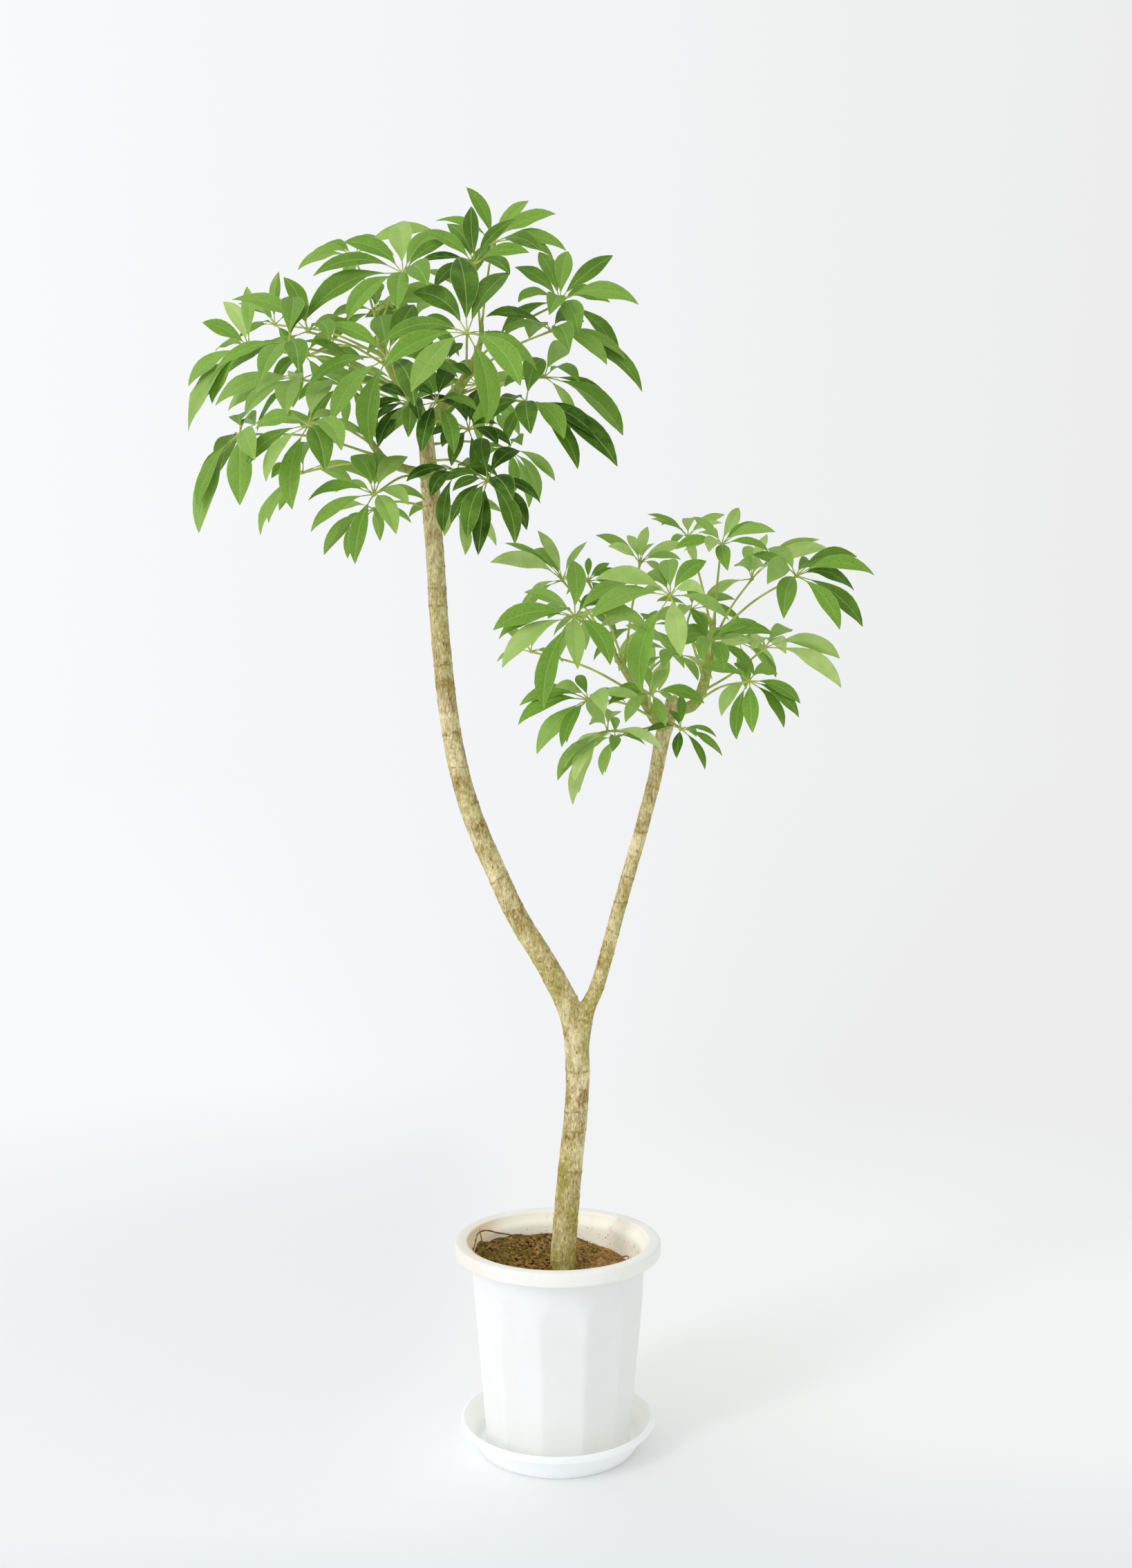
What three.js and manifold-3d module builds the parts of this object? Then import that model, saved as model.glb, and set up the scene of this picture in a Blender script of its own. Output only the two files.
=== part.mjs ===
// A potted umbrella plant: a woody stem that forks above a white twelve-sided pot on a round saucer,
// and carries two crowns of umbrella leaves. Millimetres, +Z up, the front of the plant faces -Y.
// The origin is the centre of the saucer's underside.
import * as THREE from 'three';
import { mergeVertices } from 'three/addons/utils/BufferGeometryUtils.js';
import Module from 'manifold-3d';

const wasm = await Module();
wasm.setup();

// Pot
const RIM_RADIUS = 149;
const MOUTH_RADIUS = 130;
const RIM_TOP = 295;
const RIM_DEPTH = 20;
const RIM_ROUND = 6;
const POT_TOP_RADIUS = 124;
const POT_FOOT_RADIUS = 104.5;
const POT_LEAN = 0.0933;
const POT_WALL = 4;
const POT_FLOOR = 5;
const FOOT_RECESS = 3;
const FOOT_WIDTH = 9;
const FACETS = 12;
const WALL_SIDES = 2 * FACETS;
const FACET_TURN = THREE.MathUtils.degToRad(-11);
const CORNER_TOP = 213;
const ARCH_TOP = 260;
const ROUND_INSIDE = 120;
const ROUND_FROM = 248;
const DRAIN_HOLES = 4;
const DRAIN_RADIUS = 7;
const DRAIN_CIRCLE = 62;
const DRAIN_SIDES = 8;
const ROUND_SIDES = 32;
const LIP_SLOPE_DEPTH = 14;

// Saucer
const SAUCER_FOOT_RADIUS = 111;
const SAUCER_RADIUS = 139;
const SAUCER_MOUTH_RADIUS = 132;
const SAUCER_HEIGHT = 42;
const SAUCER_LIP = 9;
const SAUCER_WALL = 3;
const SAUCER_FLOOR = 4;
const SAUCER_BEND = 12;

// Soil
const SOIL_LEVEL = 254;
const SOIL_FALL = 0.125;
const SOIL_RISE_BACK = 0.05;
const SOIL_PILE = 8;
const SOIL_PILE_START = 92;
const SOIL_PILE_END = 118;
const SOIL_SIDES = 24;

// The least space between two pieces that touch
const GAP = 0.3;

// Stems
const TRUNK_FOOT = 150;
const TRUNK_RADIUS = 19;
const WOOD_SIDES = 8;
const SHOOT_SIDES = 6;
const SHOOT_STEPS = 4;
const OBSTACLE_SIDES = 7;
const OBSTACLE_STEPS = 14;

// Leaves
const PETIOLE_RADIUS = 1.9;
const PETIOLE_FLARE = 0.7;
const PETIOLE_SIDES = 3;
const PETIOLE_STEPS = 3;
const PETIOLE_CLEAR_START = 0.14;
const PETIOLE_ARCH = 0.06;
const HUB_RADIUS = 5;
const STALK_SHARE = 0.22;
const BLADE_WIDTH = 0.4;
const BLADE_THICKNESS = 2;
const RIB_STEPS = 24;
const CLEARANCE = 0.8;
const LEVEL_BEND = 72;
const BEND_LOST_RISING = 50;
const BEND_LOST_HANGING = 26;

// Where the plant is looked at from. A leaf's place is given as it is seen from here: across and up
// on the plane through the pot's axis, and how far behind that plane it lies (in front is negative).
const EYE = new THREE.Vector3(12, -2205, 1017);

function seen(across, up, depth) {
  const target = new THREE.Vector3(across, 0, up);
  return target.sub(EYE).multiplyScalar(1 + depth / -EYE.y).add(EYE);
}

// Stem lines, [across, up, depth, radius] from root to tip, and how many steps each is built with.
const STEMS = {
  stem_left: [
    [7, TRUNK_FOOT, 0, TRUNK_RADIUS], [7, 252, 0, TRUNK_RADIUS], [17, 385, 0, 18], [27, 484, 2, 17.5],
    [29, 540, 3, 18],
    [22, 612, 2, 18.5], [-12, 684, 0, 16.5], [-58, 759, -4, 16], [-94, 836, -6, 15.5], [-116, 886, -8, 15.5],
    [-138, 952, -8, 15], [-156, 1040, -6, 14.5], [-171, 1180, -4, 14], [-176, 1260, -2, 14],
    [-182, 1345, 0, 14], [-185, 1390, 0, 14.5],
  ],
  stem_right: [
    [28, 560, 2, 16], [42, 625, 4, 12.5], [56, 656, 6, 11], [91, 781, 10, 10.5], [122, 890, 10, 10.5],
    [141, 963, 8, 10.5], [152, 1020, 6, 12], [168, 1074, 4, 11.5],
  ],
  top: [[-185, 1386, 0, 13], [-190, 1446, -4, 12], [-193, 1480, -8, 11]],
  left: [
    [-192, 1468, -6, 10], [-207, 1506, -14, 9], [-232, 1536, -22, 8], [-252, 1576, -28, 7],
    [-261, 1616, -30, 5.5],
  ],
  right: [
    [-192, 1468, -6, 10], [-167, 1496, 4, 9], [-139, 1531, 12, 8], [-119, 1566, 16, 7], [-110, 1602, 18, 3.5],
  ],
  side: [
    [-187, 1400, -2, 9], [-215, 1406, -12, 7], [-247, 1418, -24, 6.5], [-267, 1441, -32, 6],
    [-279, 1466, -36, 4],
  ],
  low_left: [
    [153, 1034, 4, 9], [141, 1046, -6, 9], [128, 1068, -16, 8.5], [118, 1086, -20, 8], [101, 1111, -24, 7],
    [85, 1133, -26, 3.5],
  ],
  low_right: [
    [166, 1060, 6, 9], [193, 1064, 10, 9], [206, 1081, 10, 8.5], [215, 1111, 8, 8], [221, 1146, 6, 7],
    [226, 1183, 4, 3.5],
  ],
};
const WOOD_STEPS = { stem_left: 18, stem_right: 9 };

// Leaf rows, the nearest and best seen first: name, stem and place on it, hub, lean (right, forward),
// reach, how many leaflets the rule adds, and the tips that show: right, up and forward share.
const LEAVES = [
  ['upper_01', 'right', 0.6, [-131, 1603, -200], [0, 0.95], 125, 1, [[-13, 110, -1], [-79, 59, -1],
    [-124, -14, 0], [-119, -48, 0.5], [-81, -84, 1], [28, -132, 1], [77, -75, 1], [62, 88, -1]]],
  ['upper_02', 'left', 0.5, [-247, 1566, -170], [-0.1, 0.95], 120, 1, [[-117, -43, 0.3], [-79, -90, 0.5],
    [-22, -127, 1], [40, -68, 1], [-85, 50, -0.5], [-10, 63, -1], [39, 79, -1]]],
  ['upper_03', 'side', 0.8, [-361, 1470, -210], [-0.25, 0.9], 112, 0, [[-76, -4, -0.5], [-90, -59, 0.3],
    [-61, -81, 0.7], [-23, -121, 1], [25, -66, 1], [48, -36, 1], [33, 67, -1], [78, 29, -0.5]]],
  ['upper_04', 'side', 0.6, [-460, 1458, -150], [-0.45, 0.75], 118, 1, [[-60, -107, 0.5], [0, -103, 1],
    [-59, -143, 0], [22, -38, 1], [-28, -53, -1], [5, 23, -1], [22, 12, -1]]],
  ['upper_05', 'left', 0.3, [-389, 1588, -190], [-0.3, 0.9], 112, 1, [[-106, -37, 0], [-41, -53, 1],
    [14, -39, 1], [-93, -48, -0.3], [6, 68, -1], [25, 56, -1]]],
  ['upper_06', 'top', 0.1, [-266, 1370, -190], [-0.05, 0.95], 100, 0, [[-95, -9, 0], [-91, -54, 0.3],
    [-27, -100, 1], [32, -57, 1], [50, -15, 0.8], [8, 60, -1], [-33, 56, -1], [49, 55, -1]]],
  ['upper_07', 'top', 0.35, [-102, 1390, -190], [0.1, 0.85], 105, 0, [[-13, -107, 1], [-28, -84, 1],
    [-52, -62, 0.6], [-50, -15, 0.5], [40, -91, 1], [57, -71, 0.5], [37, -28, 1], [47, 43, -1],
    [-7, 62, -1]]],
  ['upper_08', 'top', 0.15, [-147, 1404, -150], [-0.1, 0.75], 85, 2, [[-72, -15, 0.3], [-37, -38, 0.8],
    [-18, -88, -0.6], [60, -8, 0.3]]],
  ['lower_01', 'low_left', 0.9, [25, 1193, -160], [-0.05, 0.95], 118, 0, [[-118, -19, 0], [-110, -32, -0.3],
    [-105, -73, 0.2], [-45, -132, 0.6], [4, -75, 1], [51, -69, 0.8], [-3, 82, -0.6], [-73, 36, -0.3],
    [79, 50, -0.4], [106, -19, 0.3]]],
  ['lower_02', 'low_right', 0.45, [163, 1223, -180], [0, 0.95], 105, 0, [[15, -87, 1], [-108, -49, 0.3],
    [-40, -140, 0.5], [-108, 25, 0], [-2, 53, -1], [-37, 31, -1], [49, 3, 0.8], [52, 51, -0.6]]],
  ['lower_03', 'low_right', 0.85, [345, 1252, -90], [0.2, 0.85], 115, 0, [[114, 1, 0], [88, 28, -0.5],
    [63, -77, 0.8], [96, -73, 0.4], [-18, -61, 1], [-42, -11, 0.9], [-41, 40, -0.8], [-64, 31, -0.3],
    [84, -21, -0.6]]],
  ['lower_04', 'low_right', 1, [237, 1297, -70], [0, 0.85], 85, 0, [[25, 54, -0.7], [57, 31, -0.4],
    [78, 19, 0], [68, -10, 0.4], [-66, -6, 0.2], [-18, -10, 0.9], [9, -37, 1], [-41, 41, -0.6],
    [-31, 17, -1]]],
  ['lower_05', 'low_left', 0.15, [44, 1073, -130], [-0.3, 0.7], 105, 0, [[-99, -8, -0.2], [-101, -36, 0.1],
    [-74, -78, 0.3], [-38, -68, 0.8], [24, -19, 1], [-48, 18, 0.6], [-17, 35, -0.6], [-31, -62, -0.5],
    [12, -32, -0.8]]],
  ['lower_06', 'low_right', 0.2, [277, 1100, -120], [0.1, 0.8], 88, 0, [[5, -74, 1], [74, -32, 0],
    [72, -52, 0.2], [50, -67, -0.3], [41, 10, -0.8], [-40, -50, 0.8], [-18, -84, -0.2], [-70, 20, -0.3]]],
  ['upper_09', 'left', 0.95, [-224, 1690, -60], [-0.1, 0.85], 118, 0, [[-86, 45, -0.5], [-139, -65, 0],
    [-130, -4, 0], [-80, -68, 0.7], [-8, -53, 1], [-10, 72, -1], [36, -17, 1], [49, 60, -0.6],
    [72, 49, -0.2]]],
  ['upper_10', 'right', 0.97, [-121, 1702, -60], [0, 0.95], 90, 0, [[-4, 85, -0.5], [61, 67, -0.5],
    [80, 18, 0], [52, -14, 1], [-39, 60, -1], [-74, 49, -0.5], [-82, 0, 0.3], [-57, -33, 1], [-17, -15, 1]]],
  ['upper_11', 'right', 0.75, [3, 1648, -40], [0.05, 0.95], 112, 0, [[-30, 73, -0.7], [12, 74, -0.7],
    [77, 68, -0.3], [114, -3, 0], [86, -78, 0.5], [-65, 51, -0.5], [-60, 0, 0.6], [28, -47, 1],
    [-15, -18, 1], [73, 0, -0.8]]],
  ['upper_12', 'right', 0.5, [-10, 1607, -90], [0.2, 0.8], 110, 0, [[-94, 20, 0.3], [41, -30, 1],
    [81, -49, 0.5], [108, -41, 0], [132, -88, 0], [-30, 8, -1], [60, 15, -1]]],
  ['upper_13', 'right', 0.25, [-46, 1504, -130], [0.2, 0.75], 108, 0, [[7, -46, 1], [55, -53, 0.8],
    [75, -97, 0.3], [108, -61, 0], [132, -93, -0.3], [23, 63, -1], [-61, -31, 0.6], [-31, -58, -0.5]]],
  ['upper_14', 'left', 0.15, [-371, 1536, -90], [-0.3, 0.65], 122, 1, [[-124, -37, 0], [-81, -52, 0.5],
    [-99, -61, -0.5], [-66, -20, 0.7], [-21, -50, 1], [-64, -75, -0.3]]],
  ['upper_15', 'left', 0.4, [-447, 1581, -60], [-0.5, 0.5], 95, 0, [[-37, 68, -0.6], [-67, 38, -0.3],
    [-48, -4, 0.8], [-88, -55, 0.2], [-53, -79, 0.4], [-81, -99, 0], [-3, 90, -0.5], [-88, -121, 0]]],
  ['upper_16', 'left', 0.6, [-362, 1606, -100], [-0.15, 0.75], 100, 2, [[-39, 80, -0.5], [-109, 46, 0],
    [30, -12, 1], [-5, 43, -1]]],
  ['upper_17', 'right', 0.05, [-129, 1464, -110], [0, 0.85], 78, 1, [[-20, -62, 0.8], [25, -68, 0.8],
    [42, -23, 0.8], [-38, -25, 0.8], [22, 50, -1], [-23, 50, -1]]],
  ['upper_18', 'top', 0.9, [-175, 1504, -190], [0, 0.85], 85, 1, [[-22, -73, 1], [25, -75, 1],
    [-40, 20, -0.5], [58, -13, 0.5], [30, 50, -1], [-22, 50, -1]]],
  ['upper_33', 'top', 0.5, [-214, 1503, -160], [-0.1, 0.85], 82, 0, [[-2, -50, 1], [-35, -73, 0.6],
    [14, -26, 1], [-52, -28, 0.3], [-12, 40, -1], [28, 30, -1], [-44, 22, -0.6]]],
  ['lower_07', 'low_left', 0.3, [134, 1082, -110], [0, 0.75], 72, 1, [[-61, -16, 0.3], [-36, -41, 0.8],
    [22, -47, 0.9], [78, -14, 0.2], [-11, 44, -0.8], [24, 34, -0.8]]],
  ['lower_08', 'low_right', 0.7, [221, 1156, -120], [0, 0.75], 82, 0, [[67, 30, -0.2], [92, 11, 0],
    [63, -48, 0.4], [19, -39, 1], [-12, -26, 1], [-43, 0, 0.8], [-38, 25, -0.5], [-28, 50, -0.6]]],
  ['lower_09', 'low_right', 0.35, [301, 1149, -10], [0.3, -0.1], 118, 1, [[107, -16, 0.1], [109, -58, 0.1],
    [38, 25, -0.7], [29, -9, -0.8], [-20, -4, 0.9], [-48, 37, -0.6]]],
  ['lower_10', 'low_left', 0.97, [7, 1246, -30], [-0.2, -0.1], 100, 1, [[-104, 26, -0.1], [-84, 54, -0.2],
    [-36, 72, -0.4], [-45, 43, -0.8], [35, 56, -0.5], [-52, -31, 0.2], [-61, -55, -0.3]]],
  ['lower_11', 'low_left', 0.78, [44, 1245, -92], [0, 0.65], 60, 0, [[1, 34, -0.5], [31, 26, -0.5],
    [45, 14, 0], [23, -31, 0.8], [-30, 27, -0.5], [-20, -23, 0.8], [50, -18, -0.4]]],
  ['lower_12', 'low_left', 0.86, [119, 1271, 10], [0, 0.65], 72, 0, [[-64, 40, -0.2], [-46, 24, 0.7],
    [-19, 40, -0.7], [11, 53, -0.5], [21, 28, 0.8], [64, 27, 0], [59, 5, 0.4]]],
  ['lower_13', 'low_right', 0.9, [188, 1309, 110], [0, 0.4], 68, 1, [[-58, 32, 0], [-53, 26, -0.5],
    [-38, 17, 0.8], [54, 32, -0.2], [50, 20, 0.5], [5, 27, -1]]],
  ['lower_14', 'low_right', 0.8, [281, 1248, 60], [0.1, -0.2], 105, 1, [[98, 57, 0], [22, 65, -0.4],
    [-3, 48, -0.8], [-23, 18, 0.9], [112, 43, -0.2], [17, 18, 0.9]]],
  ['lower_15', 'low_right', 0.6, [193, 1204, 60], [0.1, -0.1], 80, 1, [[72, -18, 0.2], [64, 24, 0],
    [10, 32, -0.9], [-15, -13, 0.9], [25, -23, 0.8], [-50, 12, -0.3]]],
  ['lower_16', 'low_left', 0.05, [72, 1028, -70], [-0.3, -0.2], 110, 0, [[-72, -71, 0.1], [-62, -53, 0.6],
    [-50, -106, 0.2], [-41, -89, -0.4], [-26, 10, 0.9], [-46, -42, -0.7], [-48, -72, 0.7], [6, 20, -1]]],
  ['lower_17', 'stem_right', 0.92, [83, 1019, 10], [0, 0.4], 75, 0, [[-14, -51, -0.6], [-18, -55, 0.4],
    [34, -2, 0.8], [-4, 30, -0.8], [-4, -21, 0.9], [-30, -8, -0.8]]],
  ['lower_18', 'stem_right', 0.93, [178, 1031, -60], [0.1, 0.65], 65, 0, [[-50, -5, 0], [0, 51, -0.4],
    [52, -12, 0.2], [60, -39, 0], [35, -59, 0.2], [-6, -42, 0.8], [-18, 27, -0.6]]],
  ['lower_19', 'low_left', 0.45, [-39, 1143, 40], [-0.2, 0.4], 62, 1, [[-49, -15, 0], [-46, 43, 0],
    [10, 33, -0.8], [-23, 18, 0.8]]],
  ['lower_20', 'low_left', 0.6, [167, 1140, 70], [0, -0.2], 95, 1, [[-74, 0, 0], [-69, 41, -0.3],
    [-30, -64, 0.4], [36, -39, 0.6], [26, 26, -0.8], [-74, -39, 0]]],
  ['upper_19', 'right', 0.93, [-94, 1734, 50], [0.1, 0.65], 95, 1, [[-38, 81, 0], [52, 61, -0.3],
    [91, 42, 0], [106, -11, 0], [87, -22, 0.4], [-83, 32, -0.3], [68, -10, 0.8]]],
  ['upper_20', 'left', 0.98, [-295, 1714, 60], [-0.1, 0.5], 90, 1, [[-81, -19, 0], [-66, 0, -0.5],
    [-55, 8, -1], [113, 39, 0], [40, 28, -1], [58, 2, 0.5]]],
  ['upper_21', 'left', 0.85, [-262, 1634, 40], [0, -0.2], 95, 1, [[5, 42, -1], [95, 12, 0.3],
    [95, 35, -0.5], [60, 25, -1], [-20, 28, -1], [-65, -8, 0.5]]],
  ['upper_22', 'right', 0.35, [-19, 1540, 60], [0.2, -0.1], 110, 1, [[113, -84, 0], [50, -7, 1],
    [100, -50, -0.5], [30, 48, -1], [-58, -14, 0.7], [-48, 26, -1]]],
  ['upper_23', 'top', 0.6, [-70, 1436, 60], [0.2, -0.3], 90, 2, [[66, -46, 0.3], [43, -74, 0.4],
    [28, -85, 0], [-47, -10, 0.5], [-15, 50, -1]]],
  ['upper_24', 'side', 0.35, [-369, 1402, 40], [-0.4, 0.4], 100, 2, [[-61, -91, 0], [-49, -73, 0.6],
    [-45, -8, 0.9], [5, 44, -1]]],
  ['upper_25', 'stem_left', 0.97, [-266, 1349, -60], [-0.1, -0.1], 80, 1, [[9, -46, -1], [-72, -66, 0],
    [-38, -71, -0.3], [-53, -41, 0.4], [-66, -8, -0.3], [54, -20, -0.4]]],
  ['upper_26', 'left', 0.7, [-409, 1616, 60], [-0.2, -0.1], 75, 2, [[1, 77, 0], [-53, 30, -0.5],
    [-38, 25, -1], [50, 20, -0.5]]],
  ['upper_27', 'right', 0.4, [-160, 1560, -60], [0, 0.6], 50, 1, [[-17, 29, -1], [3, 36, -1],
    [23, 29, -1], [-32, -4, 0.5], [33, -19, 0.5]]],
  ['upper_28', 'stem_left', 0.95, [-152, 1353, 60], [0.1, -0.2], 80, 1, [[18, -70, 0.5], [-12, -43, -0.6],
    [70, -8, 0.2], [63, -57, 0]]],
  ['upper_29', 'left', 0.6, [-207, 1620, 170], [0, -0.5], 100, 7, []],
  ['upper_30', 'left', 0.2, [-307, 1530, 190], [-0.3, -0.5], 105, 7, []],
  ['upper_31', 'right', 0.2, [-117, 1530, 200], [0.3, -0.5], 105, 7, []],
  ['upper_32', 'left', 0.75, [-365, 1570, 140], [-0.4, -0.4], 95, 7, []],
  ['lower_21', 'low_left', 0.5, [123, 1180, 170], [-0.1, -0.5], 112, 7, []],
  ['lower_22', 'low_right', 0.5, [263, 1156, 160], [0.3, -0.5], 95, 7, []],
  ['lower_23', 'low_left', 0.8, [40, 1196, 120], [-0.4, -0.4], 85, 7, []],
];

// How a leaflet may be turned (degrees), lifted (degrees) and shortened to clear the others.
const TRIES = [
  [0, 0, 1], [7, 0, 1], [-7, 0, 1], [0, 9, 1], [0, -9, 1], [10, 8, 0.95], [-10, 8, 0.95],
  [10, -9, 0.95], [-10, -9, 0.95], [17, 0, 0.9], [-17, 0, 0.9], [0, 18, 0.9], [0, -18, 0.9],
  [0, 0, 0.78], [14, 8, 0.78], [-14, 8, 0.78], [14, -10, 0.78], [-14, -10, 0.78], [26, 0, 0.75],
  [-26, 0, 0.75], [0, 28, 0.75], [0, -28, 0.75], [0, 0, 0.6], [20, 16, 0.6], [-20, 16, 0.6],
  [20, -16, 0.6], [-20, -16, 0.6],
];

// How a leaf stalk may bow to the side and up, in shares of its length.
const BOWS = [
  [0, 0], [0.1, 0], [-0.1, 0], [0, 0.1], [0, -0.1], [0.18, 0.06], [-0.18, 0.06], [0.25, -0.1], [-0.25, -0.1],
];

// A small seeded number source, so that every build places the leaflets alike.
function randomSource(seed) {
  let state = seed >>> 0;
  return () => {
    state = (state + 0x6d2b79f5) >>> 0;
    let mixed = Math.imul(state ^ (state >>> 15), state | 1);
    mixed ^= mixed + Math.imul(mixed ^ (mixed >>> 7), mixed | 61);
    return ((mixed ^ (mixed >>> 14)) >>> 0) / 4294967296;
  };
}

// A closed mesh through rings of points. A ring of one point is a tip.
function loft(rings) {
  const positions = [];
  const faces = [];
  const starts = [];
  for (const ring of rings) {
    starts.push(positions.length / 3);
    for (const point of ring) positions.push(point.x, point.y, point.z);
  }
  for (let i = 0; i + 1 < rings.length; i++) {
    const near = rings[i].length;
    const far = rings[i + 1].length;
    const count = Math.max(near, far);
    for (let j = 0; j < count; j++) {
      const next = (j + 1) % count;
      const a = starts[i] + (j % near);
      const b = starts[i] + (next % near);
      const c = starts[i + 1] + (next % far);
      const d = starts[i + 1] + (j % far);
      if (near > 1) faces.push(a, b, c);
      if (far > 1) faces.push(a, c, d);
    }
  }
  const end = starts[rings.length - 1];
  for (let j = 1; j + 1 < rings[0].length; j++) faces.push(0, j + 1, j);
  for (let j = 1; j + 1 < rings[rings.length - 1].length; j++) faces.push(end, end + j, end + j + 1);
  return { positions, faces };
}

function asGeometry(mesh) {
  const geometry = new THREE.BufferGeometry();
  geometry.setAttribute('position', new THREE.Float32BufferAttribute(mesh.positions, 3));
  geometry.setIndex(mesh.faces);
  return geometry;
}

function asSolid(geometry) {
  const bare = geometry.clone();
  bare.deleteAttribute('normal');
  bare.deleteAttribute('uv');
  const merged = mergeVertices(bare, 1e-4);
  return new wasm.Manifold(new wasm.Mesh({
    numProp: 3,
    vertProperties: new Float32Array(merged.attributes.position.array),
    triVerts: new Uint32Array(merged.index.array),
  }));
}

function largestPiece(solid) {
  const pieces = solid.decompose();
  return pieces.reduce((best, piece) => (piece.volume() > best.volume() ? piece : best));
}

// A named piece of the plant, made from its finished solid.
function named(name, solid, color, roughness) {
  const { vertProperties, triVerts } = solid.getMesh();
  const geometry = new THREE.BufferGeometry();
  geometry.setAttribute('position', new THREE.BufferAttribute(new Float32Array(vertProperties), 3));
  geometry.setIndex(new THREE.BufferAttribute(new Uint32Array(triVerts), 1));
  geometry.computeVertexNormals();
  const mesh = new THREE.Mesh(geometry, new THREE.MeshStandardMaterial({ color, roughness, metalness: 0 }));
  mesh.name = name;
  return mesh;
}

// A tube of changing radius along a smooth line.
function tubeRings(points, radii, sides, steps) {
  const curve = new THREE.CatmullRomCurve3(points, false, 'centripetal');
  const frames = curve.computeFrenetFrames(steps, false);
  const rings = [];
  for (let i = 0; i <= steps; i++) {
    const share = i / steps;
    const centre = curve.getPointAt(share);
    const place = curve.getUtoTmapping(share) * (radii.length - 1);
    const low = Math.min(Math.floor(place), radii.length - 2);
    const radius = THREE.MathUtils.lerp(radii[low], radii[low + 1], place - low);
    const ring = [];
    for (let j = 0; j < sides; j++) {
      const angle = (2 * Math.PI * j) / sides;
      const offset = frames.normals[i].clone().multiplyScalar(Math.cos(angle) * radius);
      offset.addScaledVector(frames.binormals[i], Math.sin(angle) * radius);
      ring.push(centre.clone().add(offset));
    }
    rings.push(ring);
  }
  return rings;
}

function stemPoints(name) {
  return STEMS[name].map(([across, up, depth]) => seen(across, up, depth));
}

function stemCurve(name) {
  return new THREE.CatmullRomCurve3(stemPoints(name), false, 'centripetal');
}

function stemMesh(name, sides, steps, grow) {
  const radii = STEMS[name].map((row) => row[3] + grow);
  return loft(tubeRings(stemPoints(name), radii, sides, steps));
}

// The line of a leaflet's rib, which bends down under its weight in an upright plane.
function ribLine(start, chord, bend) {
  const flat = Math.hypot(chord.x, chord.y);
  const heading = Math.atan2(chord.y, chord.x);
  const slope = Math.atan2(chord.z, flat);
  const half = bend / 2;
  const length = chord.length() * (half / Math.sin(half));
  const points = [start.clone()];
  const directions = [];
  for (let i = 0; i < RIB_STEPS; i++) {
    const rise = slope + half - (bend * (i + 0.5)) / RIB_STEPS;
    const level = Math.cos(rise);
    const direction = new THREE.Vector3(level * Math.cos(heading), level * Math.sin(heading), Math.sin(rise));
    directions.push(direction);
    points.push(points[i].clone().addScaledVector(direction, length / RIB_STEPS));
  }
  return { points, directions, length };
}

// A folded leaflet: stalk, blade widest past its middle, and a pointed tip.
function leafletMesh(rib, axis, grow = 0) {
  const side0 = rib.directions[0].clone().cross(axis).normalize();
  const blade = rib.length * (1 - STALK_SHARE);
  const width = blade * BLADE_WIDTH;
  const stations = [[STALK_SHARE, 0.07], [0.5, 0.9], [0.79, 0.8]];
  const rings = [[rib.points[0]]];
  for (const [share, spread] of stations) {
    const place = share * RIB_STEPS;
    const low = Math.floor(place);
    const centre = rib.points[low].clone().lerp(rib.points[low + 1], place - low);
    const direction = rib.directions[low];
    const side = side0.clone().addScaledVector(direction, -side0.dot(direction)).normalize();
    const normal = side.clone().cross(direction);
    const half = Math.max((width * spread) / 2, BLADE_THICKNESS) + grow;
    const thick = BLADE_THICKNESS / 2 + grow;
    rings.push([
      centre.clone().addScaledVector(side, half).addScaledVector(normal, thick),
      centre.clone().addScaledVector(normal, -thick),
      centre.clone().addScaledVector(side, -half).addScaledVector(normal, thick),
    ]);
  }
  const end = rib.directions[RIB_STEPS - 1];
  rings.push([rib.points[RIB_STEPS].clone().addScaledVector(end, grow)]);
  return loft(rings);
}

// Edges, faces and box of a mesh, for the crossing test.
function obstacle(mesh) {
  const edges = new Set();
  for (let i = 0; i < mesh.faces.length; i += 3) {
    for (const [a, b] of [[0, 1], [1, 2], [2, 0]]) {
      const first = mesh.faces[i + a];
      const second = mesh.faces[i + b];
      edges.add(Math.min(first, second) * 100000 + Math.max(first, second));
    }
  }
  const box = new THREE.Box3().setFromArray(mesh.positions);
  return { positions: mesh.positions, faces: mesh.faces, edges: [...edges], box };
}

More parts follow.
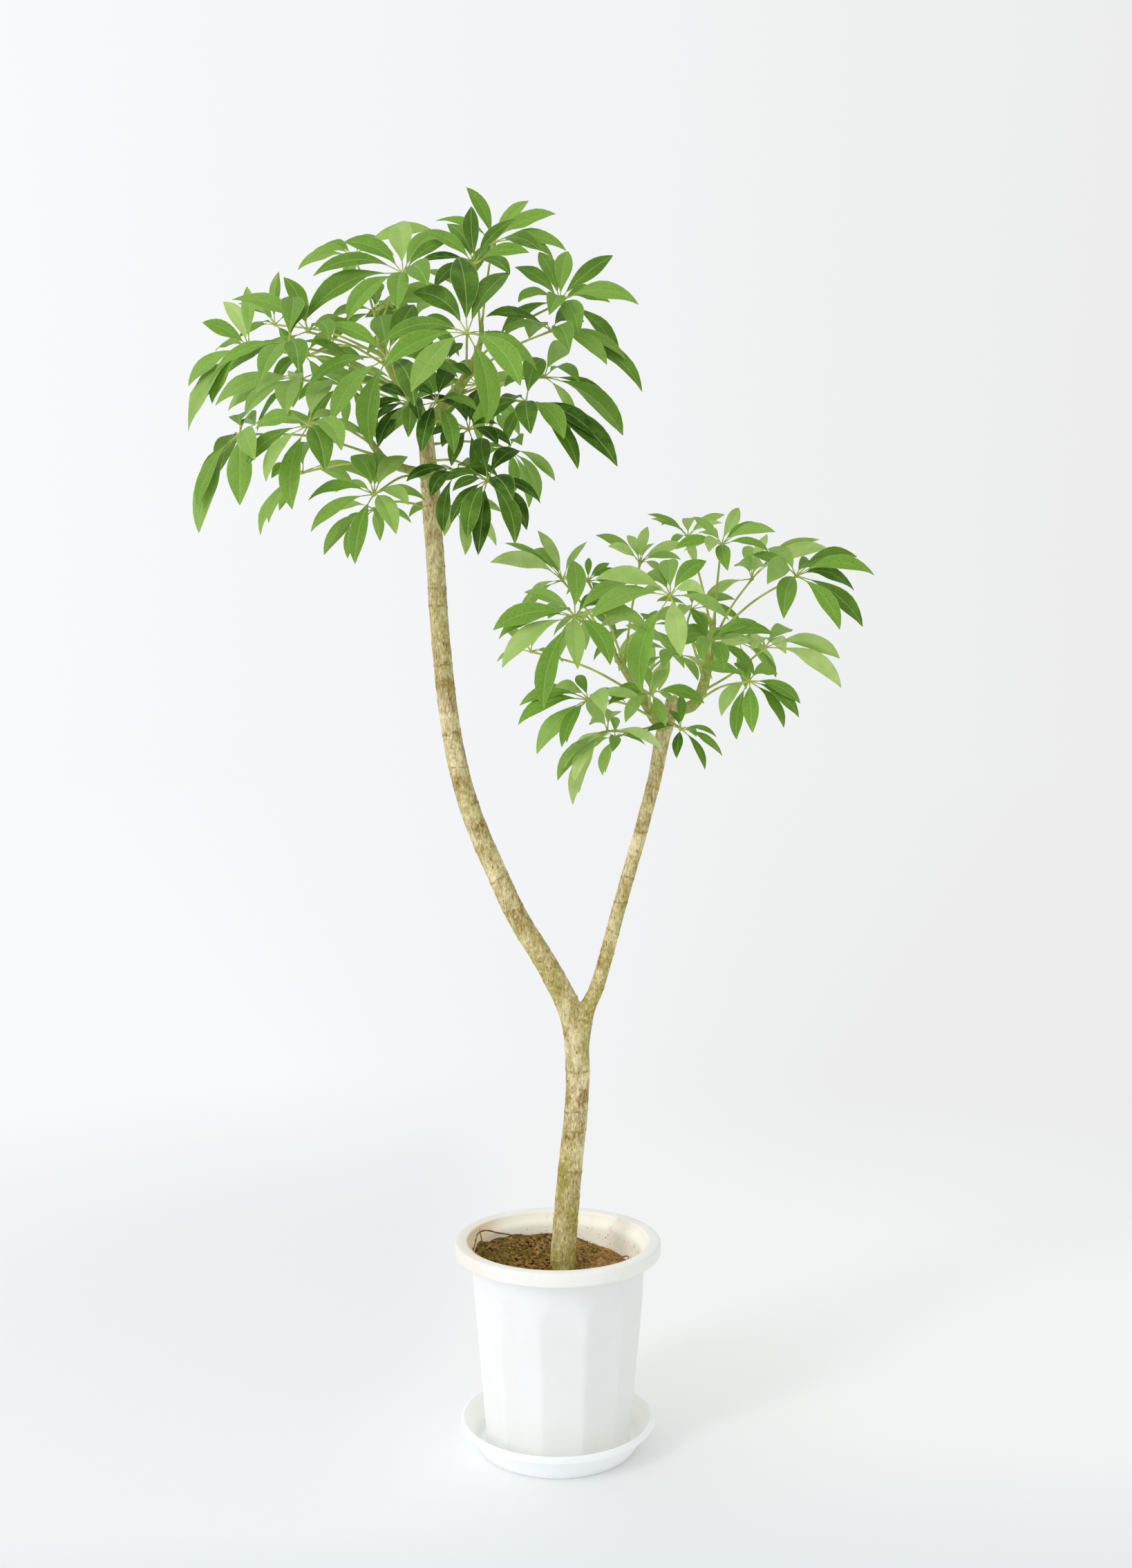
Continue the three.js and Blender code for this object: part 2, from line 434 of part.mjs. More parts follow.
function edgesCross(one, two) {
  const p = one.positions;
  const q = two.positions;
  for (const edge of one.edges) {
    const s = Math.floor(edge / 100000) * 3;
    const t = (edge % 100000) * 3;
    const dx = p[t] - p[s];
    const dy = p[t + 1] - p[s + 1];
    const dz = p[t + 2] - p[s + 2];
    for (let i = 0; i < two.faces.length; i += 3) {
      const a = two.faces[i] * 3;
      const b = two.faces[i + 1] * 3;
      const c = two.faces[i + 2] * 3;
      const ux = q[b] - q[a];
      const uy = q[b + 1] - q[a + 1];
      const uz = q[b + 2] - q[a + 2];
      const vx = q[c] - q[a];
      const vy = q[c + 1] - q[a + 1];
      const vz = q[c + 2] - q[a + 2];
      const hx = dy * vz - dz * vy;
      const hy = dz * vx - dx * vz;
      const hz = dx * vy - dy * vx;
      const det = ux * hx + uy * hy + uz * hz;
      if (Math.abs(det) < 1e-12) continue;
      const wx = p[s] - q[a];
      const wy = p[s + 1] - q[a + 1];
      const wz = p[s + 2] - q[a + 2];
      const m = (wx * hx + wy * hy + wz * hz) / det;
      if (m < 0 || m > 1) continue;
      const kx = wy * uz - wz * uy;
      const ky = wz * ux - wx * uz;
      const kz = wx * uy - wy * ux;
      const n = (dx * kx + dy * ky + dz * kz) / det;
      if (n < 0 || m + n > 1) continue;
      const along = (vx * kx + vy * ky + vz * kz) / det;
      if (along >= 0 && along <= 1) return true;
    }
  }
  return false;
}

function crosses(one, two) {
  return one.box.intersectsBox(two.box) && (edgesCross(one, two) || edgesCross(two, one));
}

function turned(chord, turn, lift, scale) {
  const flat = Math.hypot(chord.x, chord.y);
  const heading = Math.atan2(chord.y, chord.x) + THREE.MathUtils.degToRad(turn);
  const slope = THREE.MathUtils.clamp(Math.atan2(chord.z, flat) + THREE.MathUtils.degToRad(lift), -1.5, 1.5);
  const length = chord.length() * scale;
  return new THREE.Vector3(
    length * Math.cos(slope) * Math.cos(heading),
    length * Math.cos(slope) * Math.sin(heading),
    length * Math.sin(slope),
  );
}

// A level leaflet bends the most, and one that hangs or stands bends less.
function bendOf(chord) {
  const steep = chord.z / chord.length();
  const lost = steep > 0 ? BEND_LOST_RISING : BEND_LOST_HANGING;
  return THREE.MathUtils.degToRad(LEVEL_BEND - lost * Math.abs(steep));
}

// The straight lines from a leaf's hub to its leaflets' tips.
function leafChords(row, index) {
  const [, , , [across, up, depth], , reach, extra, tips] = row;
  const hub = seen(across, up, depth);
  const axis = leafAxis(row);
  const random = randomSource(index * 7919 + 17);
  const chords = tips.map(([right, rise, forward]) => {
    const shown = Math.hypot(right, rise) * (1 + depth / -EYE.y);
    const out = forward * Math.sqrt(Math.max(0, reach * reach - shown * shown));
    return seen(across + right, up + rise, depth - out).sub(hub);
  });
  const across0 = new THREE.Vector3(1, 0, 0).addScaledVector(axis, -axis.x).normalize();
  const along0 = axis.clone().cross(across0);
  const angles = chords.map((chord) => Math.atan2(chord.dot(along0), chord.dot(across0)));
  for (let i = 0; i < extra; i++) {
    let angle = random() * 2 * Math.PI;
    if (angles.length > 0) {
      const sorted = [...angles].sort((a, b) => a - b);
      let widest = -1;
      for (let j = 0; j < sorted.length; j++) {
        const next = j + 1 < sorted.length ? sorted[j + 1] : sorted[0] + 2 * Math.PI;
        if (next - sorted[j] > widest) {
          widest = next - sorted[j];
          angle = sorted[j] + widest * (0.44 + 0.12 * random());
        }
      }
    }
    angle = Math.atan2(Math.sin(angle), Math.cos(angle));
    angles.push(angle);
    const dip = THREE.MathUtils.degToRad(18 + 16 * random());
    const length = reach * (0.78 + 0.22 * random());
    chords.push(across0.clone().multiplyScalar(Math.cos(angle) * Math.cos(dip))
      .addScaledVector(along0, Math.sin(angle) * Math.cos(dip))
      .addScaledVector(axis, -Math.sin(dip))
      .multiplyScalar(length));
  }
  return chords;
}

function leafAxis(row) {
  const [right, forward] = row[4];
  return new THREE.Vector3(right, -forward, 1).normalize();
}

function petiolePoints(root, hub, bow) {
  const run = hub.clone().sub(root);
  const length = run.length();
  const sideways = run.clone().cross(new THREE.Vector3(0, 0, 1)).normalize();
  const middle = root.clone().addScaledVector(run, 0.5);
  middle.addScaledVector(sideways, bow[0] * length);
  middle.z += (PETIOLE_ARCH + bow[1]) * length;
  return [root, middle, hub];
}

function petioleMesh(points, grow = 0) {
  const radii = [PETIOLE_RADIUS + PETIOLE_FLARE + grow, PETIOLE_RADIUS + grow, PETIOLE_RADIUS + grow];
  return loft(tubeRings(points, radii, PETIOLE_SIDES, PETIOLE_STEPS));
}

// The place of every leaf stalk, each bowed clear of those before it. Its root in the stem isn't tested.
function routePetioles(stemObstacles) {
  const routes = [];
  const solids = [...stemObstacles];
  for (const row of LEAVES) {
    const [, stem, place, [across, up, depth]] = row;
    const root = stemCurve(stem).getPointAt(place);
    const hub = seen(across, up, depth);
    let route = null;
    for (const bow of BOWS) {
      const points = petiolePoints(root, hub, bow);
      const start = new THREE.CatmullRomCurve3(points, false, 'centripetal').getPointAt(PETIOLE_CLEAR_START);
      const clear = obstacle(petioleMesh([start, points[1], hub], CLEARANCE));
      const blocked = solids.some((other) => crosses(clear, other));
      if (route === null || !blocked) route = { points, hub, body: obstacle(petioleMesh(points, CLEARANCE)) };
      if (!blocked) break;
    }
    routes.push(route);
    solids.push(route.body);
  }
  return routes;
}

// Every leaf's leaflets, each turned, lifted or shortened clear of other leaves, or left out.
function placeLeaflets(routes, stemObstacles) {
  const placed = [];
  const result = LEAVES.map(() => []);
  LEAVES.forEach((row, index) => {
    const axis = leafAxis(row);
    const others = placed.filter((leaflet) => leaflet.row !== index);
    const own = [];
    for (const chord of leafChords(row, index)) {
      for (const [turn, lift, scale] of TRIES) {
        const tried = turned(chord, turn, lift, scale);
        const rib = ribLine(routes[index].hub, tried, bendOf(tried));
        const body = obstacle(leafletMesh(rib, axis, CLEARANCE));
        const blocked = others.some((leaflet) => crosses(body, leaflet.body))
          || routes.some((route, other) => other !== index && crosses(body, route.body))
          || stemObstacles.some((stem) => crosses(body, stem));
        if (!blocked) {
          own.push({ row: index, rib, axis, body });
          break;
        }
      }
    }
    placed.push(...own);
    result[index] = own;
  });
  return result;
}

// Stalk, hub and leaflets in one body, cut short of the stem that it grows from.
function leafSolid(route, leaflets, cutter) {
  const hub = new THREE.OctahedronGeometry(HUB_RADIUS);
  hub.translate(route.hub.x, route.hub.y, route.hub.z);
  let solid = asSolid(asGeometry(petioleMesh(route.points))).add(asSolid(hub));
  for (const { rib, axis } of leaflets) solid = solid.add(asSolid(asGeometry(leafletMesh(rib, axis))));
  return largestPiece(solid.subtract(cutter));
}

// How far out the corners between the pot's flat sides would be if they leaned out all the way up.
function leaningRadius(height) {
  return POT_FOOT_RADIUS + POT_LEAN * (height - SAUCER_FLOOR);
}

// The pot's outside: round under the rim, and cut flat on twelve sides below it with arched tops.
function potRadius(angle, height) {
  const step = (2 * Math.PI) / FACETS;
  const offset = ((angle - FACET_TURN) % step + step) % step - step / 2;
  const flat = (leaningRadius(height) * Math.cos(step / 2)) / Math.cos(offset);
  return Math.min(flat, POT_TOP_RADIUS);
}

// The inside wall follows the flat sides up to their corners' tops, and widens above them to a round mouth.
function innerRadius(height) {
  const corner = Math.min(leaningRadius(height), POT_TOP_RADIUS);
  const flat = corner * Math.cos(Math.PI / FACETS) - POT_WALL;
  const share = THREE.MathUtils.clamp((height - CORNER_TOP) / (ROUND_FROM - CORNER_TOP), 0, 1);
  return THREE.MathUtils.lerp(flat, ROUND_INSIDE, share);
}

function potBody() {
  const heights = [SAUCER_FLOOR, CORNER_TOP, ARCH_TOP, RIM_TOP - RIM_DEPTH + 2];
  const rings = heights.map((height) => {
    const ring = [];
    for (let j = 0; j < WALL_SIDES; j++) {
      const angle = FACET_TURN + (2 * Math.PI * j) / WALL_SIDES;
      const radius = potRadius(angle, height);
      ring.push(new THREE.Vector3(radius * Math.sin(angle), -radius * Math.cos(angle), height));
    }
    return ring;
  });
  return asSolid(asGeometry(loft(rings)));
}

function lathe(profile, segments = ROUND_SIDES) {
  const points = profile.map(([radius, height]) => new THREE.Vector2(radius, height));
  return new THREE.LatheGeometry(points, segments).rotateX(Math.PI / 2);
}

// The rolled rim is a thick ring around the top of the wall. Its inner face slopes in to the wall.
function rimProfile() {
  const bottom = RIM_TOP - RIM_DEPTH;
  const inside = ROUND_INSIDE - POT_WALL / 2;
  return [
    [inside, bottom], [RIM_RADIUS - RIM_ROUND / 2, bottom], [RIM_RADIUS, bottom + RIM_ROUND / 2],
    [RIM_RADIUS, RIM_TOP - RIM_ROUND], [RIM_RADIUS - RIM_ROUND, RIM_TOP], [MOUTH_RADIUS, RIM_TOP],
    [inside, RIM_TOP - LIP_SLOPE_DEPTH], [inside, bottom],
  ];
}

function potSolid() {
  const floor = SAUCER_FLOOR + FOOT_RECESS + POT_FLOOR;
  const slope = RIM_TOP - LIP_SLOPE_DEPTH;
  const inside = lathe([
    [0, floor], [innerRadius(floor), floor], [innerRadius(CORNER_TOP), CORNER_TOP], [ROUND_INSIDE, ROUND_FROM],
    [ROUND_INSIDE, slope], [MOUTH_RADIUS, RIM_TOP], [MOUTH_RADIUS, RIM_TOP + RIM_DEPTH],
    [0, RIM_TOP + RIM_DEPTH],
  ]);
  const recessRadius = POT_FOOT_RADIUS - FOOT_WIDTH;
  const recess = new THREE.CylinderGeometry(recessRadius, recessRadius, 2 * FOOT_RECESS, SOIL_SIDES);
  recess.rotateX(Math.PI / 2).translate(0, 0, SAUCER_FLOOR);
  let solid = potBody().add(asSolid(lathe(rimProfile()))).subtract(asSolid(inside)).subtract(asSolid(recess));
  for (let i = 0; i < DRAIN_HOLES; i++) {
    const angle = (2 * Math.PI * (i + 0.5)) / DRAIN_HOLES;
    const hole = new THREE.CylinderGeometry(DRAIN_RADIUS, DRAIN_RADIUS, 4 * POT_FLOOR, DRAIN_SIDES);
    hole.rotateX(Math.PI / 2);
    hole.translate(DRAIN_CIRCLE * Math.cos(angle), DRAIN_CIRCLE * Math.sin(angle), floor);
    solid = solid.subtract(asSolid(hole));
  }
  return solid;
}

// A shallow dish whose wall steps out under a straight lip.
function saucerSolid() {
  const lip = SAUCER_HEIGHT - SAUCER_LIP;
  const bend = SAUCER_FOOT_RADIUS + SAUCER_BEND;
  return asSolid(lathe([
    [0, 0], [SAUCER_FOOT_RADIUS, 0], [bend + 2, SAUCER_BEND], [SAUCER_RADIUS - 2 * SAUCER_WALL, lip - 1],
    [SAUCER_RADIUS, lip + 1], [SAUCER_RADIUS - 1, SAUCER_HEIGHT], [SAUCER_MOUTH_RADIUS, SAUCER_HEIGHT],
    [bend - SAUCER_WALL, SAUCER_BEND + 1], [SAUCER_FOOT_RADIUS - 2, SAUCER_FLOOR], [0, SAUCER_FLOOR],
  ]));
}

// The soil's top falls to the right, is gently lumpy and is piled up against the pot's left wall.
function soilHeight(x, y) {
  const lumps = 1.6 * Math.sin(x / 17 + 1.3) * Math.cos(y / 21) + 1.1 * Math.sin(x / 8 + y / 11);
  const piled = SOIL_PILE * THREE.MathUtils.smoothstep(-x, SOIL_PILE_START, SOIL_PILE_END);
  return SOIL_LEVEL - SOIL_FALL * x + SOIL_RISE_BACK * y + piled + lumps;
}

// The soil fills the pot, and has a plain hole where the stem stands.
function soilSolid(cutter) {
  const bottom = SAUCER_FLOOR + FOOT_RECESS + POT_FLOOR + GAP;
  const side = (height) => innerRadius(height) * Math.cos(Math.PI / ROUND_SIDES) - GAP;
  const reach = side(SOIL_LEVEL);
  const geometry = lathe([
    [0, bottom], [side(bottom), bottom], [side(CORNER_TOP), CORNER_TOP], [reach, SOIL_LEVEL],
    [reach * 0.55, SOIL_LEVEL], [0, SOIL_LEVEL],
  ], SOIL_SIDES);
  const place = geometry.attributes.position;
  for (let i = 0; i < place.count; i++) {
    if (place.getZ(i) > CORNER_TOP + GAP) {
      const x = place.getX(i);
      const y = place.getY(i);
      const height = soilHeight(x, y);
      const draw = side(height) / reach;
      place.setXYZ(i, x * draw, y * draw, height);
    }
  }
  return asSolid(geometry).subtract(cutter);
}

// The woody stems and the green shoots that grow from them are one body.
function stemsSolid(grow) {
  return Object.keys(STEMS).map((name) => {
    const wood = name in WOOD_STEPS;
    const mesh = stemMesh(name, wood ? WOOD_SIDES : SHOOT_SIDES, wood ? WOOD_STEPS[name] : SHOOT_STEPS, grow);
    return asSolid(asGeometry(mesh));
  }).reduce((sum, solid) => sum.add(solid));
}

// The stem's foot, lengthened down by the gap, so that it doesn't touch the bottom of its hole.
function footSolid() {
  const radius = TRUNK_RADIUS + GAP;
  const foot = new THREE.CylinderGeometry(radius, radius, 2 * GAP, WOOD_SIDES).rotateX(Math.PI / 2);
  foot.translate(seen(...STEMS.stem_left[0]).x, 0, TRUNK_FOOT);
  return asSolid(foot);
}

const stems = stemsSolid(0);
const stemCutter = stemsSolid(GAP);
const stemObstacles = Object.keys(STEMS).map((name) => (
  obstacle(stemMesh(name, OBSTACLE_SIDES, OBSTACLE_STEPS, CLEARANCE))
));
const routes = routePetioles(stemObstacles);
const leaflets = placeLeaflets(routes, stemObstacles);

const plant = new THREE.Group();
plant.add(named('saucer', saucerSolid(), 0xe9ecee, 0.3));
plant.add(named('pot', potSolid(), 0xe4e3dd, 0.4));
plant.add(named('soil', soilSolid(stemCutter.add(footSolid())), 0x4a3527, 0.95));
plant.add(named('stems', stems, 0xb8a56f, 0.8));
LEAVES.forEach((row, index) => {
  plant.add(named(`leaf_${row[0]}`, leafSolid(routes[index], leaflets[index], stemCutter), 0x4f7f2c, 0.45));
});

export default plant;
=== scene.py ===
"""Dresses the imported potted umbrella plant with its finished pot, saucer, soil, stems and leaves."""
import math

import bmesh
import bpy
import numpy as np
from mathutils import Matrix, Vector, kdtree, noise


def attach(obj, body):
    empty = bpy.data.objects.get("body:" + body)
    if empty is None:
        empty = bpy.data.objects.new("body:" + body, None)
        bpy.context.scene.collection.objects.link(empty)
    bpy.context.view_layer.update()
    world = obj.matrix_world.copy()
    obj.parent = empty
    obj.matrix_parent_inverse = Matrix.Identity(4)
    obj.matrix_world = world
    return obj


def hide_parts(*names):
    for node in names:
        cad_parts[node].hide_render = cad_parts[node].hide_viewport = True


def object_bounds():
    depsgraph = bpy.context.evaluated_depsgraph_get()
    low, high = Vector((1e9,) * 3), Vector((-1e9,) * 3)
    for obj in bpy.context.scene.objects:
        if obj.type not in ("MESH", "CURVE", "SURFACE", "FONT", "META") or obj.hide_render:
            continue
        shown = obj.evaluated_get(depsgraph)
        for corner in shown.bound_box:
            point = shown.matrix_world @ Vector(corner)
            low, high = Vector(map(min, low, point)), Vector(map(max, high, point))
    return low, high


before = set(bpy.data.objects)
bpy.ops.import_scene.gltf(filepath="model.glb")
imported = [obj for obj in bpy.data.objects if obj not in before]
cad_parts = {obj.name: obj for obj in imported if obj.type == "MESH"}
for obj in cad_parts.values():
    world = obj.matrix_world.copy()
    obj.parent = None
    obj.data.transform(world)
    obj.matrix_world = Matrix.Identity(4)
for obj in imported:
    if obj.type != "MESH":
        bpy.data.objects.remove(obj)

bl_info = {
    "name": "Potted umbrella plant",
    "version": (1, 0, 0),
    "blender": (4, 5, 0),
    "location": "3D View > Sidebar > Plant",
    "description": "Adds the finished pieces of a potted umbrella plant around its packed frame",
    "category": "Add Mesh",
}

FRAME_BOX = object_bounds()
MM = 0.001
INSET = 0.3 * MM
FULL_TURN = 2 * math.pi

# Where the plant is looked at from, in millimetres, and the photograph's frame in its own pixels.
# A place on the plant is given as it is seen from here: across and up on the upright plane through the
# pot's axis, and how far behind that plane it lies.
EYE = np.array((12.0, -2205.0, 1017.0))
IMAGE_HEIGHT = 2268
HORIZON_ROW = 1068.6

# How finely curves are measured, and the angle in degrees above which moulded edges stay sharp
CURVE_STEPS = 201
SHARP_EDGE = 40

# Pot and soil, in millimetres
SAUCER_FLOOR = 4
POT_TOP_RADIUS = 124
POT_FOOT_RADIUS = 104.5
POT_LEAN = 0.0933
POT_WALL = 4
FACETS = 12
FACET_STEP = FULL_TURN / FACETS
FACET_TURN = math.radians(-11)
CORNER_TOP = 213
ROUND_FROM = 248
ROUND_INSIDE = 120
FLOOR_TOP = 12
SOIL_LEVEL = 254
SOIL_FALL = 0.125
SOIL_RISE_BACK = 0.05
SPLASH_HEIGHT = 250
SPLASH_REACH = 24

# Stems, in millimetres
TRUNK_FOOT = 150
TRUNK_RADIUS = 19

# Leaves: how the part's rule bends and shapes a leaflet
STALK_SHARE = 0.22
BLADE_WIDTH = 0.4
BLADE_THICKNESS = 2
RIB_STEPS = 24
LEVEL_BEND = 72
BEND_LOST_RISING = 50
BEND_LOST_HANGING = 26
PETIOLE_ARCH = 0.06
OUTER_STATION = (0.79, 0.8)
SHORTEST_LEAFLET = 25
SAME_POINT = 0.6

# How far to each side the backdrop's tone goes from left to right, as a share of the distance
BACKDROP_TURN = 0.36

# Stem lines, (across, up, depth, radius) as seen, from root to tip, in millimetres.
STEMS = {
    "stem_left": [
        (7, TRUNK_FOOT, 0, TRUNK_RADIUS), (7, 252, 0, TRUNK_RADIUS), (17, 385, 0, 18), (27, 484, 2, 17.5),
        (29, 540, 3, 18), (22, 612, 2, 18.5), (-12, 684, 0, 16.5), (-58, 759, -4, 16), (-94, 836, -6, 15.5),
        (-116, 886, -8, 15.5), (-138, 952, -8, 15), (-156, 1040, -6, 14.5), (-171, 1180, -4, 14),
        (-176, 1260, -2, 14), (-182, 1345, 0, 14), (-185, 1390, 0, 14.5),
    ],
    "stem_right": [
        (28, 560, 2, 16), (42, 625, 4, 12.5), (56, 656, 6, 11), (91, 781, 10, 10.5), (122, 890, 10, 10.5),
        (141, 963, 8, 10.5), (152, 1020, 6, 12), (168, 1074, 4, 11.5),
    ],
    "top": [(-185, 1386, 0, 13), (-190, 1446, -4, 12), (-193, 1480, -8, 11)],
    "left": [
        (-192, 1468, -6, 10), (-207, 1506, -14, 9), (-232, 1536, -22, 8), (-252, 1576, -28, 7),
        (-261, 1616, -30, 5.5),
    ],
    "right": [
        (-192, 1468, -6, 10), (-167, 1496, 4, 9), (-139, 1531, 12, 8), (-119, 1566, 16, 7),
        (-110, 1602, 18, 3.5),
    ],
    "side": [
        (-187, 1400, -2, 9), (-215, 1406, -12, 7), (-247, 1418, -24, 6.5), (-267, 1441, -32, 6),
        (-279, 1466, -36, 4),
    ],
    "low_left": [
        (153, 1034, 4, 9), (141, 1046, -6, 9), (128, 1068, -16, 8.5), (118, 1086, -20, 8),
        (101, 1111, -24, 7), (85, 1133, -26, 3.5),
    ],
    "low_right": [
        (166, 1060, 6, 9), (193, 1064, 10, 9), (206, 1081, 10, 8.5), (215, 1111, 8, 8), (221, 1146, 6, 7),
        (226, 1183, 4, 3.5),
    ],
}

# Leaves: name, stem and place on it, hub as seen, lean (right, forward), and tone: 0 deep, 1 fresh, 2 pale.
# The tone is partly how old the leaf is and partly painted light and shade: lower for shaded leaves within
# the crown, higher for lit ones
LEAVES = [
    ("upper_01", "right", 0.6, (-131, 1603, -200), (0, 0.95), 0.9),
    ("upper_02", "left", 0.5, (-247, 1566, -170), (-0.1, 0.95), 0.75),
    ("upper_03", "side", 0.8, (-361, 1470, -210), (-0.25, 0.9), 1.15),
    ("upper_04", "side", 0.6, (-460, 1458, -150), (-0.45, 0.75), 1.25),
    ("upper_05", "left", 0.3, (-389, 1588, -190), (-0.3, 0.9), 1.1),
    ("upper_06", "top", 0.1, (-266, 1370, -190), (-0.05, 0.95), 0.8),
    ("upper_07", "top", 0.35, (-102, 1390, -190), (0.1, 0.85), 0.1),
    ("upper_08", "top", 0.15, (-147, 1404, -150), (-0.1, 0.75), 0.15),
    ("lower_01", "low_left", 0.9, (25, 1193, -160), (-0.05, 0.95), 1.2),
    ("lower_02", "low_right", 0.45, (163, 1223, -180), (0, 0.95), 1.2),
    ("lower_03", "low_right", 0.85, (345, 1252, -90), (0.2, 0.85), 0.95),
    ("lower_04", "low_right", 1, (237, 1297, -70), (0, 0.85), 1.1),
    ("lower_05", "low_left", 0.15, (44, 1073, -130), (-0.3, 0.7), 1.05),
    ("lower_06", "low_right", 0.2, (277, 1100, -120), (0.1, 0.8), 1.1),
    ("upper_09", "left", 0.95, (-224, 1690, -60), (-0.1, 0.85), 1.0),
    ("upper_10", "right", 0.97, (-121, 1702, -60), (0, 0.95), 0.65),
    ("upper_11", "right", 0.75, (3, 1648, -40), (0.05, 0.95), 0.72),
    ("upper_12", "right", 0.5, (-10, 1607, -90), (0.2, 0.8), 0.77),
    ("upper_13", "right", 0.25, (-46, 1504, -130), (0.2, 0.75), 0.6),
    ("upper_14", "left", 0.15, (-371, 1536, -90), (-0.3, 0.65), 1.1),
    ("upper_15", "left", 0.4, (-447, 1581, -60), (-0.5, 0.5), 1.35),
    ("upper_16", "left", 0.6, (-362, 1606, -100), (-0.15, 0.75), 1.15),
    ("upper_17", "right", 0.05, (-129, 1464, -110), (0, 0.85), 0.05),
    ("upper_18", "top", 0.9, (-175, 1504, -190), (0, 0.85), 0.15),
    ("upper_33", "top", 0.5, (-214, 1503, -160), (-0.1, 0.85), 0.15),
    ("lower_07", "low_left", 0.3, (134, 1082, -110), (0, 0.75), 0.85),
    ("lower_08", "low_right", 0.7, (221, 1156, -120), (0, 0.75), 0.95),
    ("lower_09", "low_right", 0.35, (301, 1149, -10), (0.3, -0.1), 1.75),
    ("lower_10", "low_left", 0.97, (7, 1246, -30), (-0.2, -0.1), 1.75),
    ("lower_11", "low_left", 0.78, (44, 1245, -92), (0, 0.65), 0.95),
    ("lower_12", "low_left", 0.86, (119, 1271, 10), (0, 0.65), 1.75),
    ("lower_13", "low_right", 0.9, (188, 1309, 110), (0, 0.4), 1.45),
    ("lower_14", "low_right", 0.8, (281, 1248, 60), (0.1, -0.2), 1.75),
    ("lower_15", "low_right", 0.6, (193, 1204, 60), (0.1, -0.1), 1.55),
    ("lower_16", "low_left", 0.05, (72, 1028, -70), (-0.3, -0.2), 2.0),
    ("lower_17", "stem_right", 0.92, (83, 1019, 10), (0, 0.4), 1.45),
    ("lower_18", "stem_right", 0.93, (178, 1031, -60), (0.1, 0.65), 0.75),
    ("lower_19", "low_left", 0.45, (-39, 1143, 40), (-0.2, 0.4), 1.45),
    ("lower_20", "low_left", 0.6, (167, 1140, 70), (0, -0.2), 1.45),
    ("upper_19", "right", 0.93, (-94, 1734, 50), (0.1, 0.65), 0.8),
    ("upper_20", "left", 0.98, (-295, 1714, 60), (-0.1, 0.5), 1.1),
    ("upper_21", "left", 0.85, (-262, 1634, 40), (0, -0.2), 1.3),
    ("upper_22", "right", 0.35, (-19, 1540, 60), (0.2, -0.1), 1.22),
    ("upper_23", "top", 0.6, (-70, 1436, 60), (0.2, -0.3), 1.1),
    ("upper_24", "side", 0.35, (-369, 1402, 40), (-0.4, 0.4), 1.3),
    ("upper_25", "stem_left", 0.97, (-266, 1349, -60), (-0.1, -0.1), 1.6),
    ("upper_26", "left", 0.7, (-409, 1616, 60), (-0.2, -0.1), 1.4),
    ("upper_27", "right", 0.4, (-160, 1560, -60), (0, 0.6), 0.3),
    ("upper_28", "stem_left", 0.95, (-152, 1353, 60), (0.1, -0.2), 1.5),
    ("upper_29", "left", 0.6, (-207, 1620, 170), (0, -0.5), 0.9),
    ("upper_30", "left", 0.2, (-307, 1530, 190), (-0.3, -0.5), 0.9),
    ("upper_31", "right", 0.2, (-117, 1530, 200), (0.3, -0.5), 0.7),
    ("upper_32", "left", 0.75, (-365, 1570, 140), (-0.4, -0.4), 1.1),
    ("lower_21", "low_left", 0.5, (123, 1180, 170), (-0.1, -0.5), 1.35),
    ("lower_22", "low_right", 0.5, (263, 1156, 160), (0.3, -0.5), 1.25),
    ("lower_23", "low_left", 0.8, (40, 1196, 120), (-0.4, -0.4), 1.25),
]

# How a leaf stalk may bow to the side and up, in shares of its length
BOWS = [
    (0, 0), (0.1, 0), (-0.1, 0), (0, 0.1), (0, -0.1),
    (0.18, 0.06), (-0.18, 0.06), (0.25, -0.1), (-0.25, -0.1),
]


def linear(code):
    """The linear colour of an sRGB hex value."""
    parts = [int(code[i:i + 2], 16) / 255 for i in (1, 3, 5)]
    return tuple(c / 12.92 if c <= 0.04045 else ((c + 0.055) / 1.055) ** 2.4 for c in parts)


def seen(across, up, depth):
    """The place, in millimetres, of a point given as it is seen."""
    target = np.array((across, 0.0, up))
    return EYE + (target - EYE) * (1 - depth / EYE[1])


def unit(direction):
    """A direction made one long."""
    return direction / np.linalg.norm(direction)


def along(points, shares):
    """Places at shares of the length of a smooth curve through points, and each one's place in the list."""
    rows = np.array(points, float)
    rows = np.vstack([2 * rows[0] - rows[1], rows, 2 * rows[-1] - rows[-2]])
    gaps = np.sqrt(np.linalg.norm(np.diff(rows, axis=0), axis=1))

    def place(turns):
        low = np.clip(turns.astype(int), 0, len(points) - 2)
        w = (turns - low)[:, None]
        p0, p1, p2, p3 = (rows[low + i] for i in range(4))
        g0, g1, g2 = (gaps[low + i][:, None] for i in range(3))
        leave = ((p1 - p0) / g0 - (p2 - p0) / (g0 + g1) + (p2 - p1) / g1) * g1
        arrive = ((p2 - p1) / g1 - (p3 - p1) / (g1 + g2) + (p3 - p2) / g2) * g1
        square = -3 * p1 + 3 * p2 - 2 * leave - arrive
        cube = 2 * p1 - 2 * p2 + leave + arrive
        return p1 + leave * w + square * w ** 2 + cube * w ** 3

    turns = np.linspace(0, len(points) - 1, CURVE_STEPS)
    run = run_along(place(turns))
    at = np.interp(np.asarray(shares, float), run / run[-1], turns)
    return place(at), at


def traced(rows, shares):
    """A line through rows of (across, up, depth, radius) as seen, and its radius, at shares of its length."""
    line, at = along([seen(*row[:3]) for row in rows], shares)
    return line, np.interp(at, range(len(rows)), [row[3] for row in rows])


